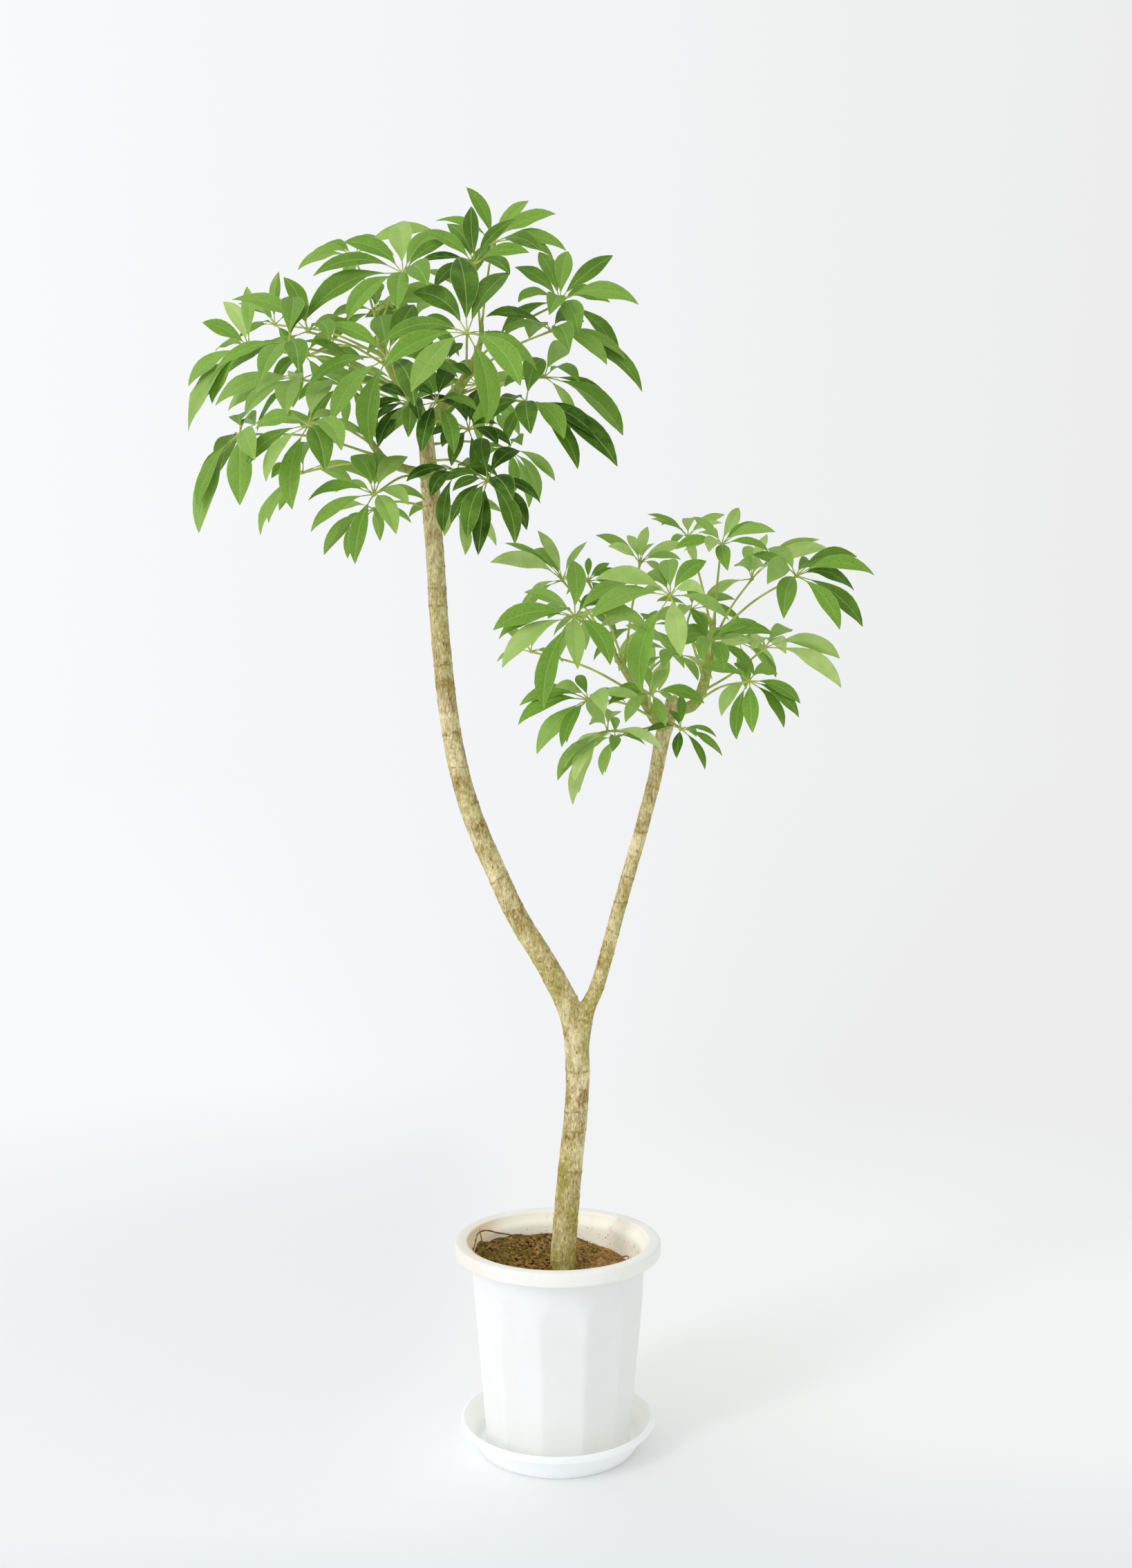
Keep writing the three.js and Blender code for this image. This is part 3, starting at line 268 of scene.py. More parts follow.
def run_along(line):
    """How far along a line each of its points lies."""
    return np.concatenate([[0], np.cumsum(np.linalg.norm(np.diff(line, axis=0), axis=1))])


def frames(line):
    """The unit directions ahead, to the side and up at each point of a line, turning as little as can be."""
    ahead = np.gradient(line, axis=0)
    ahead /= np.linalg.norm(ahead, axis=1)[:, None]
    side = np.cross(ahead[0], (0.3, 0.9, 0.2))
    sides = []
    for direction in ahead:
        side = unit(side - direction * side.dot(direction))
        sides.append(side)
    sides = np.array(sides)
    return ahead, sides, np.cross(ahead, sides)


def points_of(obj):
    """A mesh's points as rows, in metres."""
    flat = np.empty(len(obj.data.vertices) * 3, np.float32)
    obj.data.vertices.foreach_get("co", flat)
    return flat.reshape(-1, 3).astype(float)


def move_points(obj, rows):
    """Moves a mesh's points to rows, in metres."""
    obj.data.vertices.foreach_set("co", np.asarray(rows, np.float32).ravel())
    obj.data.update()


def number(obj, name, values):
    """Gives each point of a mesh a number that its finish reads."""
    attribute = obj.data.attributes.new(name, "FLOAT", "POINT")
    attribute.data.foreach_set("value", np.broadcast_to(values, len(obj.data.vertices)).astype(np.float32))


def lay_along(rows, line, radii):
    """Bends the points of an upright unit cylinder onto a line, with a radius at each point of the line."""
    _, sides, ups = frames(line)
    place = rows[:, 2] * (len(line) - 1)
    low = np.clip(place.astype(int), 0, len(line) - 2)
    part = (place - low)[:, None]

    def mixed(values):
        return values[low] * (1 - part) + values[low + 1] * part

    radius = mixed(np.asarray(radii, float)[:, None])
    return mixed(line) + (mixed(sides) * rows[:, 0:1] + mixed(ups) * rows[:, 1:2]) * radius


def deselect():
    """Leaves object mode's selection empty, because the frame's nodes come in selected."""
    if bpy.context.object and bpy.context.object.mode == "EDIT":
        bpy.ops.object.mode_set(mode="OBJECT")
    bpy.ops.object.select_all(action="DESELECT")


def pick(test):
    """Selects, in edit mode, only the points whose place passes a test."""
    mesh = bmesh.from_edit_mesh(bpy.context.object.data)
    for vertex in mesh.verts:
        vertex.select_set(bool(test(vertex.co)))
    mesh.select_flush_mode()
    bmesh.update_edit_mesh(bpy.context.object.data)


def apply_modifier(obj, kind, **settings):
    """Adds a modifier with its settings and applies it."""
    modifier = obj.modifiers.new(kind.title(), kind)
    for name, value in settings.items():
        setattr(modifier, name, value)
    bpy.context.view_layer.objects.active = obj
    bpy.ops.object.modifier_apply(modifier=modifier.name)


def cylinder(name, sides, rings):
    """An upright unit cylinder with closed ends, cut into rings along its height."""
    deselect()
    bpy.ops.mesh.primitive_cylinder_add(vertices=sides, radius=1, depth=1, location=(0, 0, 0.5))
    bpy.ops.object.transform_apply(location=True)
    bpy.ops.object.mode_set(mode="EDIT")
    for i in range(1, rings):
        bpy.ops.mesh.select_all(action="SELECT")
        bpy.ops.mesh.bisect(plane_co=(0, 0, i / rings), plane_no=(0, 0, 1))
    bpy.ops.object.mode_set(mode="OBJECT")
    bpy.context.object.name = name
    return bpy.context.object


def spun(name, profile, steps):
    """A turned piece: an outline of (radius, height) points in millimetres, spun about the upright axis."""
    deselect()
    radius, height = profile[0]
    bpy.ops.mesh.primitive_plane_add(size=MM, location=(radius * MM, 0, height * MM))
    bpy.ops.object.transform_apply(location=True)
    bpy.ops.object.mode_set(mode="EDIT")
    bpy.ops.mesh.merge(type="CENTER")
    for (r0, z0), (r1, z1) in zip(profile, profile[1:]):
        step = ((r1 - r0) * MM, 0, (z1 - z0) * MM)
        bpy.ops.mesh.extrude_region_move(TRANSFORM_OT_translate={"value": step})
    bpy.ops.mesh.select_all(action="SELECT")
    bpy.ops.mesh.spin(steps=steps, angle=FULL_TURN, center=(0, 0, 0), axis=(0, 0, 1))
    bpy.ops.mesh.select_all(action="SELECT")
    bpy.ops.mesh.remove_doubles(threshold=0.01 * MM)
    bpy.ops.mesh.normals_make_consistent(inside=False)
    bpy.ops.object.mode_set(mode="OBJECT")
    bpy.context.object.name = name
    return bpy.context.object


def rounded(centre, radius, start, end, steps):
    """Points of an outline around a rounded corner, from one angle in degrees to another."""
    angles = np.radians(np.linspace(start, end, steps))
    return [(centre[0] + radius * math.cos(a), centre[1] + radius * math.sin(a)) for a in angles]


def straight(start, end, steps):
    """Evenly spaced points of an outline between two others, without its first."""
    shares = [(i + 1) / steps for i in range(steps)]
    return [(start[0] + (end[0] - start[0]) * s, start[1] + (end[1] - start[1]) * s) for s in shares]


def copied(template, rows, **numbers):
    """A copy of a modelled shape with its own mesh, its points moved to rows, and its numbers given."""
    made = template.copy()
    made.data = template.data.copy()
    bpy.context.scene.collection.objects.link(made)
    move_points(made, rows)
    for name, values in numbers.items():
        number(made, name, values)
    return made


def tube(shape, line, radii):
    """A copy of a modelled cylinder, laid along a line with a radius at each point, in millimetres."""
    return copied(shape, lay_along(points_of(shape), line * MM, radii * MM))


def joined(pieces, name):
    """Pieces joined into one named mesh."""
    deselect()
    for piece in pieces:
        piece.select_set(True)
    bpy.context.view_layer.objects.active = pieces[0]
    bpy.ops.object.join()
    made = bpy.context.object
    made.name = name
    made.data.name = name
    return made


def dropped(*templates):
    """Deletes modelled shapes once their copies are made."""
    for template in templates:
        bpy.data.meshes.remove(template.data)


def smooth(obj, degrees=None):
    """Shades a mesh smooth, all over or only where its faces meet flatter than an angle."""
    deselect()
    obj.select_set(True)
    bpy.context.view_layer.objects.active = obj
    if degrees is None:
        bpy.ops.object.shade_smooth()
    else:
        bpy.ops.object.shade_smooth_by_angle(angle=math.radians(degrees))


def placed(obj, slot, *nodes):
    """Hands a finished piece to the plant's one body and hides its frame nodes. Its slot is not used."""
    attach(obj, "root")
    if nodes:
        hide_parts(*nodes)


def dressed(obj, slot, finish, nodes=(), sharp=None):
    """Gives a finished piece its finish and smooth shading, and hands it to the plant's one body."""
    obj.data.materials.clear()
    obj.data.materials.append(finish)
    smooth(obj, sharp)
    placed(obj, slot, *nodes)


def gentle(value, low, high):
    """A share that rises smoothly from 0 at low to 1 at high."""
    share = np.clip((value - low) / (high - low), 0, 1)
    return share * share * (3 - 2 * share)


def crumbs(rows, size):
    """Noise of about a size in millimetres at each row, from -1 to 1."""
    return np.array([noise.noise((x / size, y / size, z / size)) for x, y, z in rows])


def tree_of(rows):
    """A search tree that finds the row nearest to a place."""
    tree = kdtree.KDTree(len(rows))
    for i, row in enumerate(rows):
        tree.insert(row, i)
    tree.balance()
    return tree


def add(tree, kind, inputs=None, **settings):
    """Adds a shader node and gives back its first output in use.

    An input is a number, a colour, or another node's output to link."""
    made = tree.nodes.new("ShaderNode" + kind)
    for name, value in settings.items():
        setattr(made, name, value)
    for name, value in (inputs or {}).items():
        socket = next(s for s in made.inputs if name in (s.name, s.identifier) and s.enabled)
        if isinstance(value, bpy.types.NodeSocket):
            tree.links.new(value, socket)
        elif socket.type == "RGBA":
            socket.default_value = (*value[:3], 1.0)
        else:
            socket.default_value = value
    return next((s for s in made.outputs if s.enabled), None)


def finished(name, paint, *details):
    """A named finish. Its paint function gives the shader, from the node tree and the place on the piece."""
    made = bpy.data.materials.new(name)
    made.use_nodes = True
    tree = made.node_tree
    tree.nodes.clear()
    place = add(tree, "TexCoord").node.outputs["Object"]
    add(tree, "OutputMaterial", {"Surface": paint(tree, place, *details)})
    return made


def patches(tree, place, size, low, high, detail=3.0):
    """Soft patches of about a size in millimetres: 0 between them, 1 in them."""
    found = add(tree, "TexNoise", {"Vector": place, "Scale": 1 / (size * MM), "Detail": detail})
    return add(tree, "MapRange", {
        "Value": found, "From Min": low, "From Max": high,
    }, interpolation_type="SMOOTHSTEP")


def moulded_plastic(tree, place, settings, inner, stain_and_shade, rough, ripple, glow):
    """Injection-moulded polypropylene: an even satin white that the eye reads as soft and slightly waxy.

    Inside, where the "inside" number is 1, it is yellowed and stained, with dirt splashed on it above the
    soil; at its left it is stained more, as painted shade. It has a faint painted glow, stronger where the
    "inside" number is 1, standing in for light coming through the thin plastic."""
    inside = add(tree, "Attribute", attribute_name="inside").node.outputs["Fac"]
    axes = add(tree, "SeparateXYZ", {"Vector": place}).node.outputs
    cloudy = add(tree, "Mix", {
        "Factor": patches(tree, place, 45, 0.35, 0.7), "A": settings.colour, "B": settings.shade,
    }, data_type="RGBA")
    # Painted shade: on the left of the inside, where its wall is shaded, the staining colour is laid on fully
    left = add(tree, "MapRange", {
        "Value": axes["X"], "From Min": -70 * MM, "From Max": -118 * MM,
    }, interpolation_type="SMOOTHSTEP")
    stain_and_shade_share = add(tree, "Math", {
        "Value": left, "Value_001": patches(tree, place, 14, 0.54, 0.92),
    }, operation="MAXIMUM")
    near_soil = add(tree, "Math", {
        "Value": axes["Z"], "Value_001": SPLASH_HEIGHT * MM, "Value_002": SPLASH_REACH * MM,
    }, operation="COMPARE")
    splashed = add(tree, "Math", {
        "Value": near_soil, "Value_001": patches(tree, place, 3.2, 0.68, 0.72, 1.0),
    }, operation="MULTIPLY")
    for share, over in ((stain_and_shade_share, stain_and_shade), (splashed, linear("#7d6236"))):
        inner = add(tree, "Mix", {"Factor": share, "A": inner, "B": over}, data_type="RGBA")
    colour = add(tree, "Mix", {"Factor": inside, "A": cloudy, "B": inner}, data_type="RGBA")
    grain = add(tree, "TexNoise", {"Vector": place, "Scale": 1 / (ripple * MM), "Detail": 2.0})
    return add(tree, "BsdfPrincipled", {
        "Base Color": colour, "IOR": 1.49,
        "Roughness": add(tree, "MapRange", {"Value": inside, "To Min": rough, "To Max": 0.7}),
        "Normal": add(tree, "Bump", {"Height": grain, "Distance": 0.12 * MM, "Strength": 0.25}),
        # Painted glow: emission in the plastic's own colour, stronger where the inside number is 1, stands in
        # for light coming through the thin wall
        "Emission Color": settings.colour,
        "Emission Strength": add(tree, "MapRange", {"Value": inside, "To Min": glow, "To Max": glow + 0.07}),
    })


def potting_soil(tree, place, colours):
    """Potting compost: crumbly, with painted shade darkening the hollows between its crumbs.

    Dry and pale in patches, more of them to the right, with a nap of moss in places.
    """
    moss, hollow = (
        add(tree, "Attribute", attribute_name=name).node.outputs["Fac"] for name in ("moss", "hollow"))
    axes = add(tree, "SeparateXYZ", {"Vector": place}).node.outputs
    # Painted shade: the soil's hollows get the shade colour, blended to the damp colour on the crumbs
    low = add(tree, "MapRange", {"Value": hollow, "From Min": 0.64, "From Max": 0.42})
    right = add(tree, "MapRange", {
        "Value": axes["X"], "From Min": 10 * MM, "From Max": 80 * MM, "To Max": 0.42,
    }, interpolation_type="SMOOTHSTEP")
    high = add(tree, "Math", {
        "Value": patches(tree, place, 7, 0.48, 0.75), "Value_001": right,
    }, operation="ADD")
    growth = add(tree, "Mix", {
        "Factor": patches(tree, place, 2.5, 0.45, 0.62), "A": colours.moss, "B": linear("#68661f"),
    }, data_type="RGBA")
    edge = add(tree, "Math", {
        "Value": moss, "Value_001": patches(tree, place, 5, 0.42, 0.58),
    }, operation="MULTIPLY")
    colour = colours.hollow_shade
    for share, over in ((low, colours.colour), (high, colours.dry), (edge, growth)):
        colour = add(tree, "Mix", {"Factor": share, "A": colour, "B": over}, data_type="RGBA")
    grain = add(tree, "TexNoise", {"Vector": place, "Scale": 1 / (1.6 * MM), "Detail": 4.0})
    return add(tree, "BsdfPrincipled", {
        "Base Color": colour, "Roughness": 0.95, "Specular IOR Level": 0.15,
        "Normal": add(tree, "Bump", {"Height": grain, "Distance": 1.2 * MM, "Strength": 0.9}),
    })


def two_toned(tree, place, size, low, high, detail, first, second, rough):
    """A skin in two soft-edged tones, as roots, grit and leaf stalks have: none of them is even."""
    colour = add(tree, "Mix", {
        "Factor": patches(tree, place, size, low, high, detail), "A": first, "B": second,
    }, data_type="RGBA")
    return add(tree, "BsdfPrincipled", {"Base Color": colour, "Roughness": rough})


def young_bark(tree, place, settings):
    """Smooth young bark: tan, with corky brown specks, darker leaf-scar rings and a film of green algae.

    It turns to green skin where the "shoot" number is 1. The "scar" number is 1 on a ring."""
    shoot, scar = (
        add(tree, "Attribute", attribute_name=name).node.outputs["Fac"] for name in ("shoot", "scar"))
    axes = add(tree, "SeparateXYZ", {"Vector": place}).node.outputs
    stretched = add(tree, "Mapping", {"Vector": place, "Scale": (1, 1, 0.4)})
    flakes = patches(tree, place, 34, 0.12, 0.74)
    for size, low, high in ((9, 0.3, 0.7), (2.6, 0.38, 0.62)):
        flakes = add(tree, "Math", {
            "Value": patches(tree, stretched, size, low, high), "Value_001": 0.6, "Value_002": flakes,
        }, operation="MULTIPLY_ADD")
    pale = add(tree, "MapRange", {"Value": flakes, "From Min": 0.35, "From Max": 1.8})
    film = add(tree, "Math", {
        "Value": patches(tree, stretched, 45, 0.4, 0.65), "Value_001": patches(tree, place, 5, 0.2, 0.65),
    }, operation="MULTIPLY")
    damp = add(tree, "MapRange", {
        "Value": axes["Z"], "From Min": 1.1, "From Max": 0.45, "To Min": 0.4,
    }, interpolation_type="SMOOTHSTEP")
    algae = add(tree, "Math", {"Value": film, "Value_001": damp}, operation="MULTIPLY")
    cells = add(tree, "TexVoronoi", {"Vector": stretched, "Scale": 1 / (3.6 * MM)}).node.outputs
    spot = add(tree, "MapRange", {
        "Value": cells["Distance"], "From Min": 0.32, "From Max": 0.12,
    }, interpolation_type="SMOOTHSTEP")
    some = add(tree, "Math", {
        "Value": spot, "Value_001": patches(tree, place, 11, 0.42, 0.66),
    }, operation="MULTIPLY")
    colour = settings.bark
    layers = (
        (pale, settings.bark_pale), (algae, settings.algae), (some, settings.speck), (scar, settings.scar),
        (shoot, settings.shoot),
    )
    for share, over in layers:
        colour = add(tree, "Mix", {"Factor": share, "A": colour, "B": over}, data_type="RGBA")
    ridges = add(tree, "TexNoise", {"Vector": stretched, "Scale": 1 / (3 * MM), "Detail": 4.0})
    height = add(tree, "Math", {
        "Value": some, "Value_001": 0.3, "Value_002": ridges,
    }, operation="MULTIPLY_ADD")
    return add(tree, "BsdfPrincipled", {
        "Base Color": colour, "Roughness": 0.72, "Specular IOR Level": 0.12,
        "Normal": add(tree, "Bump", {"Height": height, "Distance": 0.9 * MM, "Strength": 0.9}),
    })


def living_leaf(tree, place, deep, fresh, pale, rib, through, rough, glow, gloss):
    """One face of a living leaf: a waxy skin over pulp that light shines through, with a pale midrib.

    The "tone" number goes from deep green at 0 to fresh green at 1, and to pale young green at 2. The
    "margin" number is 1 at the blade's edge, and its "blade" map gives places across and along it."""
    tone, margin = (
        add(tree, "Attribute", attribute_name=name).node.outputs["Fac"] for name in ("tone", "margin"))
    blade = add(tree, "UVMap", uv_map="blade")
    axes = add(tree, "SeparateXYZ", {"Vector": blade}).node.outputs
    off_rib = add(tree, "Math", {"Value": axes["X"]}, operation="ABSOLUTE")
    slanted = add(tree, "Math", {
        "Value": off_rib, "Value_001": -0.7, "Value_002": axes["Y"],
    }, operation="MULTIPLY_ADD")
    wave = add(tree, "Math", {"Value": slanted, "Value_001": FULL_TURN / (8 * MM)}, operation="MULTIPLY")
    crest = add(tree, "Math", {"Value": wave}, operation="COSINE")
    veins = add(tree, "MapRange", {
        "Value": crest, "From Min": 0.8, "From Max": 1.0,
    }, interpolation_type="SMOOTHSTEP")
    grown = add(tree, "MapRange", {"Value": tone})
    young = add(tree, "MapRange", {"Value": tone, "From Min": 1.0, "From Max": 2.0})
    pitting = add(tree, "MapRange", {
        "Value": tone, "From Min": 1.0, "From Max": 1.6, "To Min": gloss, "To Max": 0.04,
    })
    midrib = add(tree, "MapRange", {
        "Value": off_rib, "From Min": 0.9 * MM, "From Max": 0.25 * MM,
    }, interpolation_type="SMOOTHSTEP")
    edge = add(tree, "MapRange", {"Value": margin, "From Min": 0.94, "From Max": 0.98, "To Max": 0.7})
    cells = add(tree, "TexVoronoi", {"Vector": place, "Scale": 1 / (5 * MM)}).node.outputs
    dot = add(tree, "MapRange", {
        "Value": cells["Distance"], "From Min": 0.11, "From Max": 0.07, "To Max": 0.55,
    })
    layers = [(grown, fresh), (young, pale)]
    marks = (
        (patches(tree, place, 22, 0.35, 0.7), 0.35, fresh),
        (patches(tree, place, 2.6, 0.42, 0.72), pitting, deep),
        (veins, 0.06, rib),
        (midrib, 0.6, rib),
    )
    for mark, strength, over in marks:
        share = add(tree, "Math", {"Value": mark, "Value_001": strength}, operation="MULTIPLY")
        layers.append((share, over))
    layers += [(edge, rib), (dot, linear("#dfe8cf"))]
    colour = deep
    for share, over in layers:
        colour = add(tree, "Mix", {"Factor": share, "A": colour, "B": over}, data_type="RGBA")
    relief = add(tree, "Math", {
        "Value": veins, "Value_001": -0.5, "Value_002": patches(tree, place, 4, 0.2, 0.8),
    }, operation="MULTIPLY_ADD")
    skin = add(tree, "BsdfPrincipled", {
        "Base Color": colour, "Roughness": rough, "IOR": 1.45, "Specular IOR Level": gloss,
        "Normal": add(tree, "Bump", {"Height": relief, "Distance": 0.4 * MM, "Strength": 0.45}),
    })
    lit = add(tree, "Mix", {"Factor": 0.5, "A": colour, "B": through}, data_type="RGBA")
    pulp = add(tree, "BsdfTranslucent", {"Color": lit})
    return add(tree, "MixShader", {"Fac": glow, "Shader": skin, "Shader_001": pulp})


def seamless_paper(tree, place, settings):
    """Seamless pale paper: matt, and fading into the backdrop's own tone far from the plant."""
    axes = add(tree, "SeparateXYZ", {"Vector": place}).node.outputs
    reach = add(tree, "VectorMath", {"Vector": place}, operation="LENGTH")
    far = add(tree, "MapRange", {
        "Value": reach, "From Min": 0.9, "From Max": 2.7,
    }, interpolation_type="SMOOTHSTEP")
    aside = add(tree, "Math", {"Value": axes["X"], "Value_001": reach}, operation="DIVIDE")
    share = add(tree, "MapRange", {"Value": aside, "From Min": -BACKDROP_TURN, "From Max": BACKDROP_TURN})
    tone = add(tree, "Mix", {
        "Factor": share, "A": settings.backdrop_left, "B": settings.backdrop_right,
    }, data_type="RGBA")
    # Painted shade: the paper is made darker towards the front, and half as much towards the left
    front = add(tree, "MapRange", {
        "Value": axes["Y"], "From Min": 0.1, "From Max": -0.6,
    }, interpolation_type="SMOOTHSTEP")
    left = add(tree, "MapRange", {
        "Value": axes["X"], "From Min": 0.0, "From Max": -0.35, "To Max": 0.5,
    }, interpolation_type="SMOOTHSTEP")
    near = add(tree, "Math", {"Value": front, "Value_001": left}, operation="MAXIMUM")
    shade = add(tree, "Mix", {
        "Factor": near, "A": settings.floor, "B": settings.floor_shade_near,
    }, data_type="RGBA")
    paper = add(tree, "BsdfPrincipled", {"Base Color": shade, "Roughness": 0.85})
    light = add(tree, "Emission", {"Color": tone})
    return add(tree, "MixShader", {"Fac": far, "Shader": paper, "Shader_001": light})


def length(name, description, default):
    """A size that a user may change, in metres."""
    return bpy.props.FloatProperty(
        name=name, description=description, default=default, min=0.0, unit="LENGTH", precision=4)


def tint(name, description, code):
    """A colour that a user may change, from its sRGB hex value."""
    return bpy.props.FloatVectorProperty(
        name=name, description=description, default=linear(code), size=3, min=0.0, max=1.0, subtype="COLOR")


class SaucerSettings(bpy.types.PropertyGroup):
    """Sizes and colours of the saucer"""
    radius: length("Radius", "Outside radius of the lip", 139 * MM)
    height: length("Height", "Height of the lip's top", 42 * MM)
    colour: tint("Plastic", "Colour of the outside", "#f0f1f2")
    shade: tint("Plastic, shaded", "The cooler tone in soft patches", "#ebeef0")
    dust: tint("Dust", "Colour of the dusty inside", "#e8e9e0")


class PotSettings(bpy.types.PropertyGroup):
    """Sizes and colours of the pot"""
    rim_radius: length("Rim radius", "Outside radius of the rolled rim", 149 * MM)
    rim_top: length("Rim height", "Height of the rim's top above the floor", 295 * MM)
    mouth_radius: length("Mouth radius", "Radius of the mouth inside the rim", 130 * MM)
    colour: tint("Plastic", "Colour of the outside", "#f1f1f0")
    shade: tint("Plastic, shaded", "The warmer tone in soft patches", "#efefed")
    cream: tint("Inside", "Colour of the yellowed inside wall", "#fbf8e9")
    # The staining colour also serves as painted shade on the left of the pot's inside
    stain_and_shade: tint("Stain", "Colour of the stains inside", "#e2cda0")


class SoilSettings(bpy.types.PropertyGroup):
    """Colours of the soil and what lies on it"""
    colour: tint("Soil", "Colour of damp crumbs", "#8c6a2c")
    # Painted shade: the colour laid in the soil's hollows
    hollow_shade: tint("Soil, dark", "Colour of the hollows", "#241705")
    dry: tint("Soil, dry", "Colour of the dry high grains", "#c0965a")
    moss: tint("Moss", "Colour of the moss", "#434012")
    root: tint("Roots", "Colour of the roots", "#6b4a2a")
    root_tip: tint("Roots, pale", "Colour of their pale parts", "#a98a58")


class StemSettings(bpy.types.PropertyGroup):
    """Sizes and colours of the stems"""
    grain: length("Detail", "Size of the surface's smallest faces", 2.2 * MM)
    bark: tint("Bark", "Colour of the bark", "#886825")
    bark_pale: tint("Bark, pale", "Colour of its pale parts", "#f0e3b2")
    algae: tint("Algae", "Colour of the green film", "#999130")
    speck: tint("Specks", "Colour of the corky specks", "#7a5a2a")
    scar: tint("Scars", "Colour of the leaf-scar rings", "#85683a")
    shoot: tint("Shoots", "Colour of the green shoots", "#8fa53e")


class LeafSettings(bpy.types.PropertyGroup):
    """Sizes and colours of the leaves"""
    thickness: length("Thickness", "Thickness of a blade", 0.8 * MM)
    # The deep green also serves as painted shade on shaded leaves, and the fresh green as painted light on
    # lit ones
    deep: tint("Deep green", "Upper face of an old leaf", "#2a5600")
    fresh: tint("Fresh green", "Upper face of a lit, younger leaf", "#8bba46")
    pale: tint("Pale green", "Upper face of the youngest leaves", "#d6ea98")
    under: tint("Underside", "Underside of an old leaf", "#bdd088")
    under_fresh: tint("Underside, fresh", "Underside of a younger leaf", "#e2edba")
    rib: tint("Midrib", "Colour of the midrib", "#bdd27c")
    through: tint("Light through", "Colour of light that shines through", "#cbe45c")
    stalk: tint("Stalks", "Colour of the stalks", "#98aa40")
    stalk_pale: tint("Stalks, pale", "Colour of their pale parts", "#bfc663")


class StageSettings(bpy.types.PropertyGroup):
    """Light and colours of the stage"""
    floor: tint("Floor", "Colour of the floor", "#f9faf8")
    # Painted shade: the floor's colour towards the front and the left
    floor_shade_near: tint("Floor, near", "Colour of the floor near the camera", "#e7ebee")
    backdrop_left: tint("Backdrop, left", "Backdrop on the plant's left", "#f9fafd")
    backdrop_right: tint("Backdrop, right", "Backdrop on the plant's right", "#ecedec")
    fill: bpy.props.FloatProperty(
        name="Fill", description="Strength of the light from all around", default=1.02, min=0.0)
    key_power: bpy.props.FloatProperty(
        name="Key light", description="Power of the large soft light", default=52.0, min=0.0, unit="POWER")


class SaucerOperator(bpy.types.Operator):
    """Adds the saucer, a turned dish with a lip that steps out"""
    bl_idname = "plant.saucer"
    bl_label = "Saucer"

    STEPS = 180

    # Its plastic: how rough, the size of its faint ripple in millimetres, and how strong its painted glow is
    ROUGHNESS = 0.3
    RIPPLE = 2.2
    PAINTED_GLOW = 0.12

    def outline(self, radius, top):
        """The dish's outline, from its middle underneath over the lip to its middle on top."""
        profile = [(0, 1.2), (96, 1.2), (99, 0), (108, 0)]
        profile += rounded((109, 5), 5, -80, -38, 4)
        profile += straight(profile[-1], (radius - 7.5, top - 12), 5)
        profile += rounded((radius - 9, top - 9.5), 2.5, -40, 60, 3)
        profile += rounded((radius - 2.6, top - 7.4), 2.6, -80, 0, 5)
        profile += rounded((radius - 3.2, top - 3.2), 3.2, 0, 180, 11)[1:]
        profile += straight(profile[-1], (radius - 9, top - 13), 3)
        profile += straight(profile[-1], (119, 13), 4)
        profile += rounded((109, 14), 10, -12, -86, 6)
        return profile + [(100, SAUCER_FLOOR), (0, SAUCER_FLOOR)]

    def execute(self, context):
        sizes = context.scene.plant_saucer
        radius = sizes.radius / MM
        top = sizes.height / MM
        dish = spun("saucer_dish", self.outline(radius, top), self.STEPS)
        rows = points_of(dish) / MM
        reach = np.hypot(rows[:, 0], rows[:, 1])
        lining = np.interp(reach, (0, 109, 119, radius - 9, radius - 6.4), (3, 3, 12, top - 14, top - 4))
        number(dish, "inside", (rows[:, 2] > lining) & (reach < radius - 6))
        plastic = finished(
            "moulded_polypropylene_saucer", moulded_plastic, sizes, sizes.dust, linear("#eeeee8"),
            self.ROUGHNESS, self.RIPPLE, self.PAINTED_GLOW)
        dressed(dish, "saucer_plastic", plastic, ["saucer"], SHARP_EDGE)
        return {"FINISHED"}


def leaning_radius(height):
    """How far out the pot's leaning corners would be at a height, in millimetres."""
    return POT_FOOT_RADIUS + POT_LEAN * (height - SAUCER_FLOOR)


def corner_radius(height):
    """How far out the pot's corners are at a height, in millimetres: they lean out, then stand upright."""
    return np.minimum(leaning_radius(height), POT_TOP_RADIUS)


def wall_radius(height):
    """How far out the pot's inside wall is at a height, in millimetres."""
    flat = corner_radius(height) * math.cos(FACET_STEP / 2) - POT_WALL
    share = np.clip((height - CORNER_TOP) / (ROUND_FROM - CORNER_TOP), 0, 1)
    return flat + (ROUND_INSIDE - flat) * share


